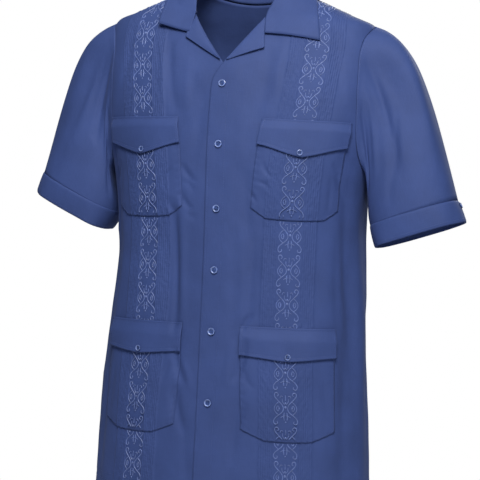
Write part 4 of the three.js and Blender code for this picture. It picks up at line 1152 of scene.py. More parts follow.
def cloth_material(name, colour, pucker=0.0):
    """A fine plain weave with uneven threads, soft rumples and, on tucks, small puckers."""
    material, tree, shader = new_material(name)
    uv = wire(tree, "ShaderNodeUVMap", (-6, 0), {"uv_map": "cloth"}).outputs[0]
    place = wire(tree, "ShaderNodeTexCoord", (-6, -2)).outputs["Object"]

    def noise(vector, scale, detail, rough, stretch, at):
        mapped = wire(tree, "ShaderNodeMapping", (at[0] - 1, at[1]), Vector=vector, Scale=stretch).outputs[0]
        return wire(tree, "ShaderNodeTexNoise", at, Vector=mapped, Scale=scale, Detail=detail,
                    Roughness=rough).outputs[0]

    warp = noise(uv, 1400, 2, 0.6, (1, 0.03, 1), (-4, 2))
    weft = noise(uv, 1400, 2, 0.6, (0.03, 1, 1), (-4, 1))
    slub = math_node(tree, "ADD", warp, weft, (-3, 1))
    patch = noise(place, 14, 3, 0.55, (1, 1, 1), (-4, 0))
    fade = math_node(tree, "MULTIPLY", patch, 0.5, (-3, 0))
    mixed = math_node(tree, "MULTIPLY", slub, 0.22, (-2, 1))
    shade = math_node(tree, "ADD", mixed, fade, (-1, 1))
    ramp = wire(tree, "ShaderNodeValToRGB", (0, 1), Fac=shade)
    set_ramp(ramp, colour, (0.3, 0.84), (0.64, 1.13))
    tree.links.new(ramp.outputs[0], shader.inputs["Base Color"])

    rumple = noise(place, 46, 4, 0.62, (1, 1, 0.55), (-4, -2))
    crease = noise(place, 19, 2, 0.5, (1, 1, 0.45), (-4, -3))
    height = math_node(tree, "ADD", math_node(tree, "MULTIPLY", crease, 2.0, (-3, -2)), rumple, (-2, -2))
    if pucker:
        ripple = noise(uv, 150, 2, 0.5, (0.9, 1, 1), (-4, -4))
        puckers = math_node(tree, "MULTIPLY", ripple, pucker, (-2, -3))
        height = math_node(tree, "ADD", puckers, height, (-1, -3))
    soft = wire(tree, "ShaderNodeBump", (2, -2), Strength=0.42, Distance=0.0018, Height=height)
    threads = math_node(tree, "ADD", warp, weft, (0, -4))
    fine = wire(tree, "ShaderNodeBump", (4, -2), Strength=0.16, Distance=0.0003, Height=threads,
                Normal=soft.outputs[0])
    tree.links.new(fine.outputs[0], shader.inputs["Normal"])
    shader.inputs["Roughness"].default_value = 0.7
    shader.inputs["Specular IOR Level"].default_value = 0.3
    shader.inputs["Sheen Weight"].default_value = 0.05
    shader.inputs["Sheen Roughness"].default_value = 0.5
    shader.inputs["Sheen Tint"].default_value = (0.62, 0.7, 1.0, 1)
    return material


def thread_material(name, colour):
    """Shiny embroidery thread, with its filaments lying side by side, and patches of painted satin highlight.
    """
    material, tree, shader = new_material(name)
    place = wire(tree, "ShaderNodeTexCoord", (-4, 0)).outputs["Object"]
    strand = wire(tree, "ShaderNodeTexNoise", (-2, 0), Vector=place, Scale=900.0, Detail=2.0).outputs[0]
    # Patches some millimetres across make the thread paler and darker: painted satin highlights.
    glinting = wire(tree, "ShaderNodeTexNoise", (-2, 1), Vector=place, Scale=150.0, Detail=2.0).outputs[0]
    both = math_node(tree, "MULTIPLY", math_node(tree, "ADD", strand, glinting, (-1, 0)), 0.5, (-1, 1))
    ramp = wire(tree, "ShaderNodeValToRGB", (0, 0), Fac=both)
    set_ramp(ramp, colour, (0.32, 0.55), (0.68, 1.3))
    tree.links.new(ramp.outputs[0], shader.inputs["Base Color"])
    bump = wire(tree, "ShaderNodeBump", (2, -1), Strength=0.35, Distance=0.0002, Height=strand)
    tree.links.new(bump.outputs[0], shader.inputs["Normal"])
    shader.inputs["Roughness"].default_value = 0.38
    shader.inputs["Specular IOR Level"].default_value = 0.6
    return material


def button_material(name, colour):
    """Moulded dark blue plastic with a pearly cloud in it."""
    material, tree, shader = new_material(name)
    place = wire(tree, "ShaderNodeTexCoord", (-4, 0)).outputs["Object"]
    cloud = wire(tree, "ShaderNodeTexNoise", (-2, 0), Vector=place, Scale=210.0, Detail=3.0,
                 Distortion=1.2).outputs[0]
    ramp = wire(tree, "ShaderNodeValToRGB", (0, 0), Fac=cloud)
    set_ramp(ramp, colour, (0.35, 0.7), (0.7, 1.7))
    tree.links.new(ramp.outputs[0], shader.inputs["Base Color"])
    bump = wire(tree, "ShaderNodeBump", (2, -1), Strength=0.12, Distance=0.0003, Height=cloud)
    tree.links.new(bump.outputs[0], shader.inputs["Normal"])
    shader.inputs["Roughness"].default_value = 0.24
    shader.inputs["Coat Weight"].default_value = 0.4
    shader.inputs["Coat Roughness"].default_value = 0.12
    return material


def material_named(name):
    """Makes each finish once, and hands the same one to every piece that wears it."""
    found = bpy.data.materials.get(name)
    if found:
        return found
    shirt = bpy.context.scene.guayabera
    if name == "blue_cloth":
        return cloth_material(name, shirt.cloth_colour)
    if name == "tucked_cloth":
        return cloth_material(name, shirt.cloth_colour, pucker=1.6)
    if name == "embroidery_thread":
        return thread_material(name, shirt.thread_colour)
    if name == "seam_thread":
        return thread_material(name, shirt.seam_colour)
    if name == "button_plastic":
        return button_material(name, shirt.button_colour)
    # The paler rim finish is a painted highlight on the buttons' rims.
    if name == "button_rim_highlight":
        return button_material(name, shirt.rim_highlight_colour)
    raise ValueError(f"no finish is called {name}")


# ---------------------------------------------------------------- repeats with geometry nodes

def repeat_tree(name, sockets):
    """An empty tree with named inputs, and its input and output nodes."""
    tree = bpy.data.node_groups.new(name, "GeometryNodeTree")
    tree.interface.new_socket("Geometry", in_out="INPUT", socket_type="NodeSocketGeometry")
    for label, kind, value in sockets:
        socket = tree.interface.new_socket(label, in_out="INPUT", socket_type=kind)
        if value is not None:
            socket.default_value = value
    tree.interface.new_socket("Geometry", in_out="OUTPUT", socket_type="NodeSocketGeometry")
    return tree, wire(tree, "NodeGroupInput", (-6, 0)).outputs, wire(tree, "NodeGroupOutput", (8, 0))


def finish_tree(tree, out, geometry, material):
    """Ends a tree by making its copies real and dressing them."""
    real = wire(tree, "GeometryNodeRealizeInstances", (6, 0), Geometry=geometry)
    dressed = wire(tree, "GeometryNodeSetMaterial", (7, 0), Geometry=real.outputs[0], Material=material)
    tree.links.new(dressed.outputs[0], out.inputs[0])


def baked(piece, tree, values):
    """Runs a tree on an object and returns the plain mesh it makes. The object is used up."""
    modifier = piece.modifiers.new("Repeat", "NODES")
    modifier.node_group = tree
    for item in tree.interface.items_tree:
        if item.in_out == "INPUT" and item.name in values:
            modifier[item.identifier] = values[item.name]
    bpy.context.view_layer.update()
    evaluated = piece.evaluated_get(bpy.context.evaluated_depsgraph_get())
    mesh = bpy.data.meshes.new_from_object(evaluated)
    used = piece.data
    bpy.data.objects.remove(piece)
    bpy.data.meshes.remove(used)
    return mesh


def motif_tree():
    """Repeats a motif up a strip."""
    tree, given, out = repeat_tree("Embroidery Repeat", [
        ("Count", "NodeSocketInt", 10), ("Pitch", "NodeSocketFloat", 0.053),
        ("Start", "NodeSocketFloat", 0.0), ("Thread", "NodeSocketMaterial", None),
    ])
    step = wire(tree, "ShaderNodeCombineXYZ", (-4, -1), Y=given["Pitch"])
    first = wire(tree, "ShaderNodeCombineXYZ", (-4, -2), Y=given["Start"])
    line = wire(tree, "GeometryNodeMeshLine", (-2, 0), Count=given["Count"],
                Start_Location=first.outputs[0], Offset=step.outputs[0])
    copies = wire(tree, "GeometryNodeInstanceOnPoints", (2, 0), Points=line.outputs[0],
                  Instance=given["Geometry"])
    finish_tree(tree, out, copies.outputs[0], given["Thread"])
    return tree


def stitch_tree():
    """Lays stitches along seam lines."""
    tree, given, out = repeat_tree("Stitch Rows", [
        ("Stitch", "NodeSocketObject", None), ("Pitch", "NodeSocketFloat", 0.0027),
        ("Length", "NodeSocketFloat", 0.0019), ("Width", "NodeSocketFloat", 0.0005),
        ("Thread", "NodeSocketMaterial", None),
    ])
    curve = wire(tree, "GeometryNodeMeshToCurve", (-4, 0), Mesh=given["Geometry"])
    spaced = wire(tree, "GeometryNodeResampleCurve", (-2, 0), {"mode": "LENGTH"}, Curve=curve.outputs[0],
                  Length=given["Pitch"])
    tangent = wire(tree, "GeometryNodeInputTangent", (-4, -2))
    turned = wire(tree, "FunctionNodeAlignRotationToVector", (-2, -2), {"axis": "Z"},
                  Vector=tangent.outputs[0])
    source = wire(tree, "GeometryNodeObjectInfo", (-2, -3), Object=given["Stitch"])
    scale = wire(tree, "ShaderNodeCombineXYZ", (-2, -4), X=given["Width"], Y=given["Width"],
                 Z=given["Length"])
    copies = wire(tree, "GeometryNodeInstanceOnPoints", (2, 0), Points=spaced.outputs[0],
                  Instance=source.outputs["Geometry"], Rotation=turned.outputs[0], Scale=scale.outputs[0])
    finish_tree(tree, out, copies.outputs[0], given["Thread"])
    return tree


def button_tree():
    """Sets a button on each point, facing along the point's own direction."""
    tree, given, out = repeat_tree("Button Row", [
        ("Button", "NodeSocketObject", None), ("Size", "NodeSocketFloat", 1.0),
        ("Plastic", "NodeSocketMaterial", None),
    ])
    facing = wire(tree, "GeometryNodeInputNamedAttribute", (-4, -2), {"data_type": "FLOAT_VECTOR"},
                  Name="facing")
    turned = wire(tree, "FunctionNodeAlignRotationToVector", (-2, -2), {"axis": "Z"},
                  Vector=facing.outputs[0])
    source = wire(tree, "GeometryNodeObjectInfo", (-2, -3), Object=given["Button"])
    points = wire(tree, "GeometryNodeMeshToPoints", (-2, 0), Mesh=given["Geometry"])
    copies = wire(tree, "GeometryNodeInstanceOnPoints", (2, 0), Points=points.outputs[0],
                  Instance=source.outputs["Geometry"], Rotation=turned.outputs[0], Scale=given["Size"])
    finish_tree(tree, out, copies.outputs[0], given["Plastic"])
    return tree


# ---------------------------------------------------------------- the embroidered motif

def sweep(points, steps):
    """A smooth line through given points."""
    points = np.array(points, float)
    at = np.linspace(0, len(points) - 1, steps)
    order = table("place x y", [(k, *p) for k, p in enumerate(points)])
    return np.stack([read(order, at, "x"), read(order, at, "y")], -1)


def motif_lines():
    """The lines of one motif, in millimetres from its middle, with the width of each."""
    lines = []
    for way in (1, -1):
        flip = np.array([way, 1])
        scroll = sweep([(11.2, 17.4), (9.5, 19.6), (11.4, 22.6), (14.6, 21.2), (14.2, 16.6), (9.4, 10.8),
                        (4.6, 5.4), (2.9, 0), (4.8, -5.0), (9.8, -9.4), (14.4, -13.6), (16.3, -18.4),
                        (14.2, -22.2), (10.9, -20.6), (11.6, -17.6)], 46)
        bow = sweep([(8.6, 10.2), (13.2, 5.4), (15.3, 0.4), (14.0, -4.4), (9.6, -9.0)], 14)
        drop = sweep([(10.2, 4.6), (8.4, 0.6), (10.2, -3.6), (12.2, 0.6), (10.2, 4.6)], 14)
        stem = sweep([(1.6, -5.4), (2.5, -10.5), (1.9, -16.6)], 8)
        leaf = sweep([(1.0, 5.8), (3.8, 9.6), (4.4, 14.6)], 8)
        brow = sweep([(0.2, -9.8), (3.6, -10.6), (6.8, -12.6)], 7)
        barb = sweep([(7.4, 15.0), (6.2, 18.0), (3.4, 17.2)], 7)
        widths = ((scroll, 1.45), (bow, 1.15), (drop, 1.2), (stem, 1.5), (leaf, 1.2), (brow, 1.1),
                  (barb, 1.0))
        lines.extend((line * flip * MOTIF_STRETCH, width) for line, width in widths)
    lines.append((sweep([(0, 11.6), (0.3, 15.4), (-0.2, 19.6)], 7) * MOTIF_STRETCH, 1.2))
    return lines


MOTIF_DOTS = [(0, 2.2, 2.0), (0, 8.6, 1.5), (10.2, 0.6, 1.0), (-10.2, 0.6, 1.0), (0, -20.6, 1.2)]
MOTIF_STRETCH = np.array([1.12, 1.08])
MOTIF_PHASE = 22.0
THREAD_RISE = 0.75
DOT_SIDES = 8


def motif_mesh():
    """One motif as raised satin cords and dots, lying flat."""
    vertices, faces = [], []
    for line, width in motif_lines():
        along = unit(np.gradient(line, axis=0))
        across = np.stack([along[:, 1], -along[:, 0]], -1)
        first = len(vertices)
        taper = np.ones(len(line))
        taper[[0, -1]] = 0.45
        for k, point in enumerate(line):
            for reach, rise in ((-0.5, 0), (-0.25, 0.85), (0.25, 0.85), (0.5, 0)):
                edge = point + across[k] * reach * width * taper[k]
                vertices.append((*edge, rise * THREAD_RISE))
        for k in range(len(line) - 1):
            for side in range(3):
                a = first + 4 * k + side
                faces.append((a, a + 1, a + 5, a + 4))
        faces.append((first, first + 1, first + 2, first + 3))
        last = first + 4 * (len(line) - 1)
        faces.append((last + 3, last + 2, last + 1, last))
    for x, y, radius in MOTIF_DOTS:
        first = len(vertices)
        top = THREAD_RISE * 1.2
        for size, rise in ((radius, 0), (0.62 * radius, 0.85 * top)):
            for k in range(DOT_SIDES):
                angle = 2 * np.pi * k / DOT_SIDES
                vertices.append((x + size * np.cos(angle), y + size * np.sin(angle), rise))
        vertices.append((x, y, top))
        second, crown = first + DOT_SIDES, first + 2 * DOT_SIDES
        for k in range(DOT_SIDES):
            after = (k + 1) % DOT_SIDES
            faces.append((first + k, first + after, second + after, second + k))
            faces.append((second + k, second + after, crown))
    mesh = bpy.data.meshes.new("motif")
    mesh.from_pydata((np.array(vertices) * MM).tolist(), [], faces)
    shape = bmesh.new()
    shape.from_mesh(mesh)
    for face in shape.faces:
        if face.normal.z < -0.3:
            face.normal_flip()
    shape.to_mesh(mesh)
    shape.free()
    return mesh


def embroidered_strip(name, side, low, high, lift):
    """The motifs of one strip between two heights, laid on the cloth."""
    shirt = bpy.context.scene.guayabera
    pitch = shirt.motif_pitch
    step = pitch / MM
    count = int(round((high - low) / step)) + 3
    first = math.floor((low - MOTIF_PHASE) / step) * step + MOTIF_PHASE
    base = place_object("motif", motif_mesh())
    mesh = baked(base, motif_tree(), {
        "Count": count, "Pitch": pitch, "Start": first * MM, "Thread": material_named("embroidery_thread"),
    })
    co = np.empty(len(mesh.vertices) * 3)
    mesh.vertices.foreach_get("co", co)
    co = co.reshape(-1, 3) / MM
    inside = (co[:, 1] > low) & (co[:, 1] < high)
    height = np.clip(co[:, 1], -SHIRT_LENGTH, -0.5)
    placed = cloth_place(side * band_arc(co[:, 0], height), height, lift + co[:, 2])
    mesh.vertices.foreach_set("co", (placed * MM).reshape(-1))
    shape = bmesh.new()
    shape.from_mesh(mesh)
    shape.verts.ensure_lookup_table()
    gone = [shape.verts[k] for k in np.flatnonzero(~inside)]
    bmesh.ops.delete(shape, geom=gone, context="VERTS")
    if side < 0:
        bmesh.ops.reverse_faces(shape, faces=shape.faces)
    shape.to_mesh(mesh)
    shape.free()
    mesh.polygons.foreach_set("use_smooth", np.ones(len(mesh.polygons), bool))
    mesh.name = name
    return mesh


def joined(name, meshes):
    """Several meshes as one object."""
    shape = bmesh.new()
    for mesh in meshes:
        shape.from_mesh(mesh)
    whole = bpy.data.meshes.new(name)
    shape.to_mesh(whole)
    shape.free()
    for material in meshes[0].materials:
        whole.materials.append(material)
    for mesh in meshes:
        bpy.data.meshes.remove(mesh)
    return place_object(name, whole)


# ---------------------------------------------------------------- stitches and buttons

def stitch_mesh():
    """One stitch, a short rounded bar one unit long and one wide."""
    rings = [(-0.5, 0.15), (-0.3, 0.5), (0.3, 0.5), (0.5, 0.15)]
    corners = [(1, 0), (0, 1), (-1, 0), (0, -1)]
    vertices = [(radius * x, radius * y, z) for z, radius in rings for x, y in corners]
    faces = [(3, 2, 1, 0), (12, 13, 14, 15)]
    for first in (0, 4, 8):
        for k, after in ((0, 1), (1, 2), (2, 3), (3, 0)):
            faces.append((first + k, first + after, first + 4 + after, first + 4 + k))
    mesh = bpy.data.meshes.new("stitch")
    mesh.from_pydata(vertices, [], faces)
    return mesh


def seam_mesh(lines):
    """Seam lines as bare edges."""
    vertices, edges = [], []
    for line in lines:
        first = len(vertices)
        vertices.extend((np.asarray(line) * MM).tolist())
        edges.extend((first + k, first + k + 1) for k in range(len(line) - 1))
    mesh = bpy.data.meshes.new("seams")
    mesh.from_pydata(vertices, edges, [])
    return mesh


def stitched(name, lines, pitch=2.7, length=1.9, width=0.42):
    """Rows of stitches along lines, as one object."""
    stitch = place_object("stitch", stitch_mesh())
    mesh = baked(place_object("seams", seam_mesh(lines)), stitch_tree(), {
        "Stitch": stitch, "Pitch": pitch * MM, "Length": length * MM, "Width": width * MM,
        "Thread": material_named("seam_thread"),
    })
    bpy.data.objects.remove(stitch)
    mesh.polygons.foreach_set("use_smooth", np.ones(len(mesh.polygons), bool))
    mesh.name = name
    return place_object(name, mesh)


BUTTON_PROFILE = table("out up", [
    (0, 0.52), (0.5, 0.52), (0.6, 0.56), (0.7, 0.84), (0.8, 0.98), (0.9, 0.92), (0.98, 0.66), (1.0, 0.4),
    (0.95, 0.16), (0.82, 0.0), (0.4, 0.0), (0, 0.0),
])
BUTTON_SIDES = 36
HOLE_PLACE = 0.24
HOLE_RADIUS = 0.125
THREAD_RADIUS = 0.07


def button_mesh(radius, thickness):
    """A four-hole button with a raised rim, its back at z = 0, with the thread across its holes."""
    shape = bmesh.new()
    profile = [(row["out"] * radius * MM, row["up"] * thickness * MM) for row in BUTTON_PROFILE]
    rings = []
    for out, up in profile:
        if out == 0:
            rings.append([shape.verts.new((0, 0, up))])
        else:
            rings.append([shape.verts.new((out * math.cos(2 * math.pi * k / BUTTON_SIDES),
                                           out * math.sin(2 * math.pi * k / BUTTON_SIDES), up))
                          for k in range(BUTTON_SIDES)])
    for upper, lower in zip(rings, rings[1:]):
        for k in range(BUTTON_SIDES):
            after = (k + 1) % BUTTON_SIDES
            if len(upper) == 1:
                shape.faces.new((upper[0], lower[k], lower[after]))
            elif len(lower) == 1:
                shape.faces.new((upper[k], lower[0], upper[after]))
            else:
                shape.faces.new((upper[k], lower[k], lower[after], upper[after]))
    bmesh.ops.recalc_face_normals(shape, faces=shape.faces)
    mesh = bpy.data.meshes.new("button")
    shape.to_mesh(mesh)
    shape.free()
    body = place_object("button", mesh)

    drills = bmesh.new()
    for x in (-1, 1):
        for y in (-1, 1):
            from_middle = HOLE_PLACE * radius * MM
            place = Matrix.Translation((x * from_middle, y * from_middle, 0.5 * thickness * MM))
            bmesh.ops.create_cone(drills, cap_ends=True, segments=12, radius1=HOLE_RADIUS * radius * MM,
                                  radius2=HOLE_RADIUS * radius * MM, depth=3 * thickness * MM, matrix=place)
    drill_mesh = bpy.data.meshes.new("drills")
    drills.to_mesh(drill_mesh)
    drills.free()
    drill = place_object("drills", drill_mesh)
    cut = body.modifiers.new("Holes", "BOOLEAN")
    cut.object = drill
    cut.operation = "DIFFERENCE"
    cut.solver = "EXACT"
    bpy.context.view_layer.update()
    holed = bpy.data.meshes.new_from_object(body.evaluated_get(bpy.context.evaluated_depsgraph_get()))
    for used in (body, drill):
        bpy.data.objects.remove(used)

    shape = bmesh.new()
    shape.from_mesh(holed)
    for y in (-1, 1):
        across = Matrix.Translation((0, y * HOLE_PLACE * radius * MM, 0.56 * thickness * MM))
        bmesh.ops.create_cone(shape, cap_ends=True, segments=8, radius1=THREAD_RADIUS * radius * MM,
                              radius2=THREAD_RADIUS * radius * MM, depth=0.56 * radius * MM,
                              matrix=across @ Matrix.Rotation(math.pi / 2, 4, "Y"))
    shape.to_mesh(holed)
    shape.free()
    return holed


# The ring of a button's face, as parts of its radius, whose upward faces get a paler colour as a painted
# highlight.
RIM_HIGHLIGHT_PARTS = (0.64, 0.93)


def paint_rim_highlights(mesh, radius, points, facings):
    """Paints the tops of the buttons' raised rims a paler colour, as a painted highlight."""
    mesh.materials.append(material_named("button_rim_highlight"))
    points, facings = np.array(points), np.array(facings)
    for face in mesh.polygons:
        place = np.array(face.center) / MM
        nearest = np.argmin(np.linalg.norm(points - place, axis=1))
        from_back = place - points[nearest]
        up = from_back @ facings[nearest]
        out = np.linalg.norm(from_back - up * facings[nearest]) / radius
        if RIM_HIGHLIGHT_PARTS[0] < out < RIM_HIGHLIGHT_PARTS[1] and np.array(face.normal) @ facings[nearest] > 0.2:
            face.material_index = len(mesh.materials) - 1


def button_row(name, size, points, facings, nodes):
    """A row of like buttons, each on its own place of the cloth."""
    base = place_object("button", button_mesh(*size))
    mesh = bpy.data.meshes.new("points")
    mesh.from_pydata((np.array(points) * MM).tolist(), [], [])
    facing = mesh.attributes.new("facing", "FLOAT_VECTOR", "POINT")
    facing.data.foreach_set("vector", np.array(facings).reshape(-1))
    row = baked(place_object("points", mesh), button_tree(), {
        "Button": base, "Size": 1.0, "Plastic": material_named("button_plastic"),
    })
    bpy.data.objects.remove(base)
    row.name = name
    # The tops of the rims get a paler colour as a painted highlight.
    paint_rim_highlights(row, size[0], points, facings)
    piece = place_object(name, row)
    return hand_over(piece, "button", *nodes)


BUTTON_ARC = 2.0
BUTTON_HEIGHTS = [-165, -261, -362, -458, -554, -665]
FRONT_BUTTON = (6.2, 2.6)
SMALL_BUTTON = (5.0, 2.2)
FLAP_BUTTON_RISE = 7
FLAP_BUTTON_SHIFT = 3.0
FLAP_BUTTON_LIFT = 0.9


# ---------------------------------------------------------------- settings

class GuayaberaSettings(bpy.types.PropertyGroup):
    cloth_colour: FloatVectorProperty(
        name="Cloth", description="Colour of the cloth", subtype="COLOR", size=3, min=0, max=1,
        default=(0.043, 0.074, 0.222))
    thread_colour: FloatVectorProperty(
        name="Embroidery", description="Colour of the embroidery thread", subtype="COLOR", size=3,
        min=0, max=1, default=(0.135, 0.19, 0.43))
    seam_colour: FloatVectorProperty(
        name="Seam thread", description="Colour of the seam stitches", subtype="COLOR", size=3, min=0, max=1,
        default=(0.07, 0.11, 0.3))
    button_colour: FloatVectorProperty(
        name="Buttons", description="Colour of the buttons", subtype="COLOR", size=3, min=0, max=1,
        default=(0.040, 0.070, 0.20))
    # A paler colour painted on the tops of the button rims as a highlight.
    rim_highlight_colour: FloatVectorProperty(
        name="Button rims", description="Colour of the worn rims of the buttons", subtype="COLOR", size=3,
        min=0, max=1, default=(0.17, 0.23, 0.46))
    cloth_thickness: FloatProperty(
        name="Cloth thickness", description="Thickness of one layer of the cloth", default=0.0008,
        min=0.0002, max=0.003, subtype="DISTANCE", unit="LENGTH")
    motif_pitch: FloatProperty(
        name="Motif pitch", description="Height that one motif of the embroidery takes up", default=0.053,
        min=0.03, max=0.1, subtype="DISTANCE", unit="LENGTH")
    floor_drop: FloatProperty(
        name="Floor drop", description="How far below the hem the floor lies", default=0.45,
        min=0.0, max=2.0, subtype="DISTANCE", unit="LENGTH")
    sleeve_sides: IntProperty(
        name="Sleeve columns", description="Columns of cloth round a sleeve", default=132, min=24, max=400)


# ---------------------------------------------------------------- operators

CUFF_LAYERS = 1.5
FOLDED_LAYERS = 1.8


class SHIRT_OT_fronts(bpy.types.Operator):
    """Make the two tucked fronts, the left lapped over the right"""
    bl_idname = "shirt.fronts"
    bl_label = "Fronts"

    def execute(self, context):
        arc, height, rise, tucked = front_grid()
        uv = np.stack([arc, height], -1)
        finishes = [material_named("blue_cloth"), material_named("tucked_cloth")]
        for name, side in (("front_left", 1), ("front_right", -1)):
            grid = cloth_place(side * arc, height, rise + lap_lift(side, arc, height))
            piece = cloth_piece(name + "_cloth", grid, uv, finishes,
                                context.scene.guayabera.cloth_thickness / MM, flip=side < 0, faces=tucked)
            hand_over(piece, "cloth", name)
        return {"FINISHED"}


class SHIRT_OT_back(bpy.types.Operator):
    """Make the back"""
    bl_idname = "shirt.back"
    bl_label = "Back"

    def execute(self, context):
        arc, height = back_grid(170, 121)
        grid = cloth_place(arc, height)
        piece = cloth_piece("back_cloth", grid, own_map(grid), [material_named("blue_cloth")],
                            context.scene.guayabera.cloth_thickness / MM, flip=True)
        hand_over(piece, "cloth", "back")
        return {"FINISHED"}


class SHIRT_OT_sleeves(bpy.types.Operator):
    """Make the sleeves and the turned-up cuffs on their ends"""
    bl_idname = "shirt.sleeves"
    bl_label = "Sleeves and cuffs"

    def execute(self, context):
        shirt = context.scene.guayabera
        cloth = material_named("blue_cloth")
        thickness = shirt.cloth_thickness / MM
        for name, shape in SLEEVES.items():
            side = shape["side"]
            grid, turn = sleeve_grid(name, shirt.sleeve_sides)
            piece = cloth_piece(f"sleeve_{name}_cloth", grid, arm_map(grid, turn), [cloth], thickness,
                                flip=side < 0, closed=True)
            hand_over(piece, "cloth", f"sleeve_{name}")

            cuff = cuff_grid(name, shirt.sleeve_sides)
            piece = cloth_piece(f"cuff_{name}_cloth", cuff, arm_map(cuff, turn), [cloth],
                                CUFF_LAYERS * thickness, flip=side < 0, closed=True)
            hand_over(piece, "cloth", f"cuff_{name}")
        return {"FINISHED"}


class SHIRT_OT_pockets(bpy.types.Operator):
    """Make the tucked patch pockets"""
    bl_idname = "shirt.pockets"
    bl_label = "Pockets"

    def execute(self, context):
        finishes = [material_named("blue_cloth"), material_named("tucked_cloth")]
        for place, size in POCKETS.items():
            for name, side in (("left", 1), ("right", -1)):
                grid, tucked = pocket_grid(side, size)
                piece = cloth_piece(f"pocket_{place}_{name}_cloth", grid, own_map(grid), finishes,
                                    context.scene.guayabera.cloth_thickness / MM, flip=side < 0, faces=tucked)
                hand_over(piece, "cloth", f"pocket_{place}_{name}")
        return {"FINISHED"}


class SHIRT_OT_flaps(bpy.types.Operator):
    """Make the pointed pocket flaps"""
    bl_idname = "shirt.flaps"
    bl_label = "Flaps"

    def execute(self, context):
        cloth = material_named("blue_cloth")
        thickness = FOLDED_LAYERS * context.scene.guayabera.cloth_thickness / MM
        for place, size in POCKETS.items():
            for name, side in (("left", 1), ("right", -1)):
                grid = flap_grid(side, size)
                piece = cloth_piece(f"flap_{place}_{name}_cloth", grid, own_map(grid), [cloth], thickness,
                                    flip=side < 0)
                hand_over(piece, "cloth", f"flap_{place}_{name}")
        return {"FINISHED"}


class SHIRT_OT_collar(bpy.types.Operator):
    """Make the collar and the lapels below it"""
    bl_idname = "shirt.collar"
    bl_label = "Collar and lapels"

    def execute(self, context):
        cloth = material_named("blue_cloth")
        thickness = FOLDED_LAYERS * context.scene.guayabera.cloth_thickness / MM
        grid, cells = collar_grid()
        piece = cloth_piece("collar_cloth", grid, own_map(grid), [cloth], thickness, flip=True, kept=cells)
        hand_over(piece, "cloth", "collar")
        for name, shape in LAPELS.items():
            grid = lapel_grid(shape)
            piece = cloth_piece(f"lapel_{name}_cloth", grid, own_map(grid), [cloth], thickness,
                                flip=shape["side"] < 0)
            hand_over(piece, "cloth", f"lapel_{name}")
        return {"FINISHED"}


class SHIRT_OT_embroidery(bpy.types.Operator):
    """Work the embroidered motifs up the strips and over the pockets"""
    bl_idname = "shirt.embroidery"
    bl_label = "Embroidery"

    def execute(self, context):
        for name, side in (("left", 1), ("right", -1)):
            chest, lower = CHEST_POCKET, LOWER_POCKET
            on_pocket = POCKET_LIFT + CLOTH + 1.6
            meshes = [
                embroidered_strip("top", side, chest["flap_top"] - 4, -10, 0.0),
                embroidered_strip("chest", side, chest["bottom"] + 5, chest["flap_side"] + 4, on_pocket),
                embroidered_strip("middle", side, lower["flap_top"] - 4, chest["bottom"] - 1, 0.0),
                embroidered_strip("lower", side, lower["bottom"] + 5, lower["flap_side"] + 4, on_pocket),
                embroidered_strip("hem", side, -SHIRT_LENGTH + 14, lower["bottom"] - 1, 0.0),
            ]
            hand_over(joined(f"embroidery_{name}", meshes), "cloth")
        return {"FINISHED"}


STITCH_LIFT = 0.1
PLACKET_STITCHES = (-812, -178)
HEM_STITCHES = (-806, -796)
POCKET_MARGIN = 2.5


def front_stitches():
    """Stitch lines down the lapped edge and its facing, and two along the hem of each front."""
    heights = np.linspace(*PLACKET_STITCHES, 240)
    lines = [cloth_place(arc, heights, LAP_LIFT + STITCH_LIFT) for arc in (3.0 - OVERLAP, OVERLAP - 5.0)]
    for side, start in ((1, OVERLAP + 5), (-1, 0)):
        for hem in HEM_STITCHES:
            arcs = side * np.linspace(start, float(side_arc(hem)) - 4, 160)
            lines.append(cloth_place(arcs, hem, STITCH_LIFT))
    return lines


def pocket_stitches(side, size):
    """The stitch line down one side of a pocket, along its bottom and up the other side."""
    low, high = size["shift"] - size["half"] + POCKET_MARGIN, size["shift"] + size["half"] - POCKET_MARGIN
    across = np.linspace(low, high, 60)
    floor = pocket_bottom(size, across) + POCKET_MARGIN
    top = size["top"] - 4
    down = np.stack([np.full(40, low), np.linspace(top, floor[0], 40)], -1)
    base = np.stack([across, floor], -1)
    up = np.stack([np.full(40, high), np.linspace(floor[-1], top, 40)], -1)
    path = np.concatenate([down, base[1:-1], up])
    return cloth_place(side * band_arc(path[:, 0], path[:, 1]), path[:, 1], EDGE_LIFT + 0.05 + CLOTH)


class SHIRT_OT_stitches(bpy.types.Operator):
    """Stitch the edges, hems, pockets and seams"""
    bl_idname = "shirt.stitches"
    bl_label = "Stitches"

    def execute(self, context):
        sides = context.scene.guayabera.sleeve_sides
        lines = front_stitches()
        for size in POCKETS.values():
            for side in (1, -1):
                lines.append(pocket_stitches(side, size))
        for size in POCKETS.values():
            for side in (1, -1):
                grid = flap_grid(side, size)
                lines.extend((grid[3, 2:-2], grid[3:, 2], grid[3:, -3], grid[-3, 2:-2]))
        for name in SLEEVES:
            for ring in (sleeve_grid(name, sides)[0][1], cuff_grid(name, sides)[-4]):
                lines.append(np.concatenate([ring, ring[:1]]))
        lines.append(collar_grid()[0][2:-2, -3])
        lines.extend(lapel_grid(shape)[2:-2, -4] for shape in LAPELS.values())
        piece = stitched("seam_stitches", lines)
        hand_over(piece, "cloth")
        return {"FINISHED"}


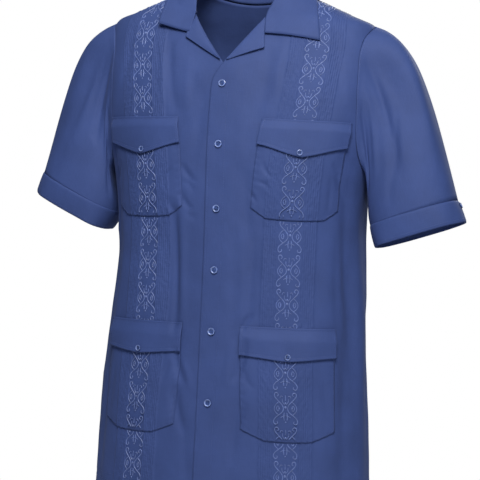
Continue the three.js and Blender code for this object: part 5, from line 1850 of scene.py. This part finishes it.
class SHIRT_OT_buttons(bpy.types.Operator):
    """Sew on the front, flap and cuff buttons"""
    bl_idname = "shirt.buttons"
    bl_label = "Buttons"

    def execute(self, context):
        heights = np.array(BUTTON_HEIGHTS, float)
        arcs = np.full(len(heights), BUTTON_ARC)
        button_row("front_buttons", FRONT_BUTTON, cloth_place(arcs, heights, LAP_LIFT + 0.2),
                   body_normal(arcs, heights), [f"button_front_{k + 1}" for k in range(len(heights))])
        points, facings, nodes = [], [], []
        for place, size in POCKETS.items():
            height = np.array([float(size["flap_point"] + FLAP_BUTTON_RISE)])
            for name, side in (("left", 1), ("right", -1)):
                arc = side * band_arc(np.array([FLAP_BUTTON_SHIFT]), height)
                points.append(cloth_place(arc, height, FLAP_LIFT + DOUBLE_CLOTH + FLAP_BUTTON_LIFT)[0])
                facings.append(body_normal(arc, height)[0])
                nodes.append(f"button_{place}_{name}")
        button_row("flap_buttons", SMALL_BUTTON, points, facings, nodes)
        points, facings, nodes = [], [], []
        for name, shape in SLEEVES.items():
            cuff = cuff_grid(name, context.scene.guayabera.sleeve_sides)
            out = grid_normals(cuff, closed=True) * -shape["side"]
            points.append(cuff[5, 0] + out[5, 0] * 0.3)
            facings.append(out[5, 0])
            nodes.append(f"button_cuff_{name}")
        button_row("cuff_buttons", SMALL_BUTTON, points, facings, nodes)
        return {"FINISHED"}


CAMERA_TURN = 18.03
CAMERA_LEAN = 2.26
CAMERA_AWAY = 2.4
CAMERA_LENS = 109.4
AIM_HEIGHT = -0.39
AIM_SIDE = 0.0011
AIM_DROP = 0.0197
AMBIENT = (0.065, 0.085, 0.13)
FLOOR_HALF = 1.7
FLOOR_CELLS = 24

# Turn and rise in degrees, distance and size in metres, power in watts.
LAMPS = {
    "key": (16, 40, 2.6, 1.1, 64),
    "fill": (40, 6, 3.0, 1.2, 7),
    "top": (-10, 76, 2.4, 1.2, 6),
    "behind": (165, 30, 3.0, 1.8, 30),
}


class SHIRT_OT_stage(bpy.types.Operator):
    """Set the floor, the lights and the camera"""
    bl_idname = "shirt.stage"
    bl_label = "Stage"

    def execute(self, context):
        scene = context.scene
        turn, lean = math.radians(CAMERA_TURN), math.radians(CAMERA_LEAN)
        across = Vector((math.cos(turn), math.sin(turn), 0))
        up = Vector((0, 0, 1))
        away = Vector((math.sin(turn), -math.cos(turn), 0))
        right = across * math.cos(lean) + up * math.sin(lean)
        top = up * math.cos(lean) - across * math.sin(lean)
        place = Vector((0, 0, AIM_HEIGHT)) + away * CAMERA_AWAY - top * AIM_DROP - right * AIM_SIDE
        camera = bpy.data.objects.new("camera", bpy.data.cameras.new("camera"))
        camera.data.lens = CAMERA_LENS
        camera.data.sensor_width = 36.0
        facing = Matrix((right, top, away)).transposed().to_4x4()
        camera.matrix_world = Matrix.Translation(place) @ facing
        scene.collection.objects.link(camera)
        scene.camera = camera

        floor = bpy.data.meshes.new("floor")
        level = -SHIRT_LENGTH * MM - scene.guayabera.floor_drop
        at = [FLOOR_HALF * (2 * k / FLOOR_CELLS - 1) for k in range(FLOOR_CELLS + 1)]
        faces = grid_faces(len(at), len(at), False)
        floor.from_pydata([(x, y, level) for y in at for x in at], [], faces.tolist())
        pale, tree, shader = new_material("floor_paper")
        place_of = wire(tree, "ShaderNodeTexCoord", (-4, 0)).outputs["Object"]
        grain = wire(tree, "ShaderNodeTexNoise", (-2, 0), Vector=place_of, Scale=40.0).outputs[0]
        ramp = wire(tree, "ShaderNodeValToRGB", (0, 0), Fac=grain)
        ramp.color_ramp.elements[0].color = (0.80, 0.80, 0.80, 1)
        ramp.color_ramp.elements[1].color = (0.86, 0.86, 0.86, 1)
        tree.links.new(ramp.outputs[0], shader.inputs["Base Color"])
        shader.inputs["Roughness"].default_value = 0.8
        floor.materials.append(pale)
        place_object("floor", floor)

        world = bpy.data.worlds.new("studio")
        world.use_nodes = True
        tree = world.node_tree
        sight = wire(tree, "ShaderNodeLightPath", (-3, 0)).outputs["Is Camera Ray"]
        sky = wire(tree, "ShaderNodeValToRGB", (-2, 0), Fac=sight)
        sky.color_ramp.elements[0].color = (*AMBIENT, 1)
        sky.color_ramp.elements[1].color = (1, 1, 1, 1)
        tree.links.new(sky.outputs[0], tree.nodes["Background"].inputs[0])
        scene.world = world
        scene.view_settings.view_transform = "Standard"

        for name, values in LAMPS.items():
            self.lamp(name, *values)
        return {"FINISHED"}

    def lamp(self, name, turn, rise, away, size, power):
        """A soft square lamp, turned round and raised from the front, and aimed at the chest."""
        aim = Vector((0, 0, -0.35))
        turn, rise = math.radians(turn), math.radians(rise)
        way = Vector((math.sin(turn) * math.cos(rise), -math.cos(turn) * math.cos(rise), math.sin(rise)))
        data = bpy.data.lights.new(name, "AREA")
        data.energy = power
        data.size = size
        lamp = bpy.data.objects.new(name, data)
        lamp.location = aim + way * away
        lamp.rotation_euler = way.to_track_quat("Z", "Y").to_euler()
        bpy.context.scene.collection.objects.link(lamp)


PIECE_OPERATORS = (
    SHIRT_OT_fronts, SHIRT_OT_back, SHIRT_OT_sleeves, SHIRT_OT_pockets, SHIRT_OT_flaps, SHIRT_OT_collar,
    SHIRT_OT_embroidery, SHIRT_OT_stitches, SHIRT_OT_buttons, SHIRT_OT_stage,
)


class SHIRT_PT_panel(bpy.types.Panel):
    bl_idname = "SHIRT_PT_panel"
    bl_label = "Guayabera Shirt"
    bl_space_type = "VIEW_3D"
    bl_region_type = "UI"
    bl_category = "Shirt"

    def draw(self, context):
        shirt = context.scene.guayabera
        for name in ("cloth_colour", "thread_colour", "seam_colour", "button_colour", "rim_highlight_colour",
                     "cloth_thickness", "motif_pitch", "floor_drop", "sleeve_sides"):
            self.layout.prop(shirt, name)
        for operator in PIECE_OPERATORS:
            self.layout.operator(operator.bl_idname)


CLASSES = (GuayaberaSettings, *PIECE_OPERATORS, SHIRT_PT_panel)


def register():
    for cls in CLASSES:
        bpy.utils.register_class(cls)
    bpy.types.Scene.guayabera = PointerProperty(type=GuayaberaSettings)


def unregister():
    del bpy.types.Scene.guayabera
    for cls in reversed(CLASSES):
        bpy.utils.unregister_class(cls)


def main():
    register()
    bpy.ops.shirt.fronts()
    bpy.ops.shirt.back()
    bpy.ops.shirt.sleeves()
    bpy.ops.shirt.pockets()
    bpy.ops.shirt.flaps()
    bpy.ops.shirt.collar()
    bpy.ops.shirt.embroidery()
    bpy.ops.shirt.stitches()
    bpy.ops.shirt.buttons()
    bpy.ops.shirt.stage()


if __name__ == "__main__":
    main()
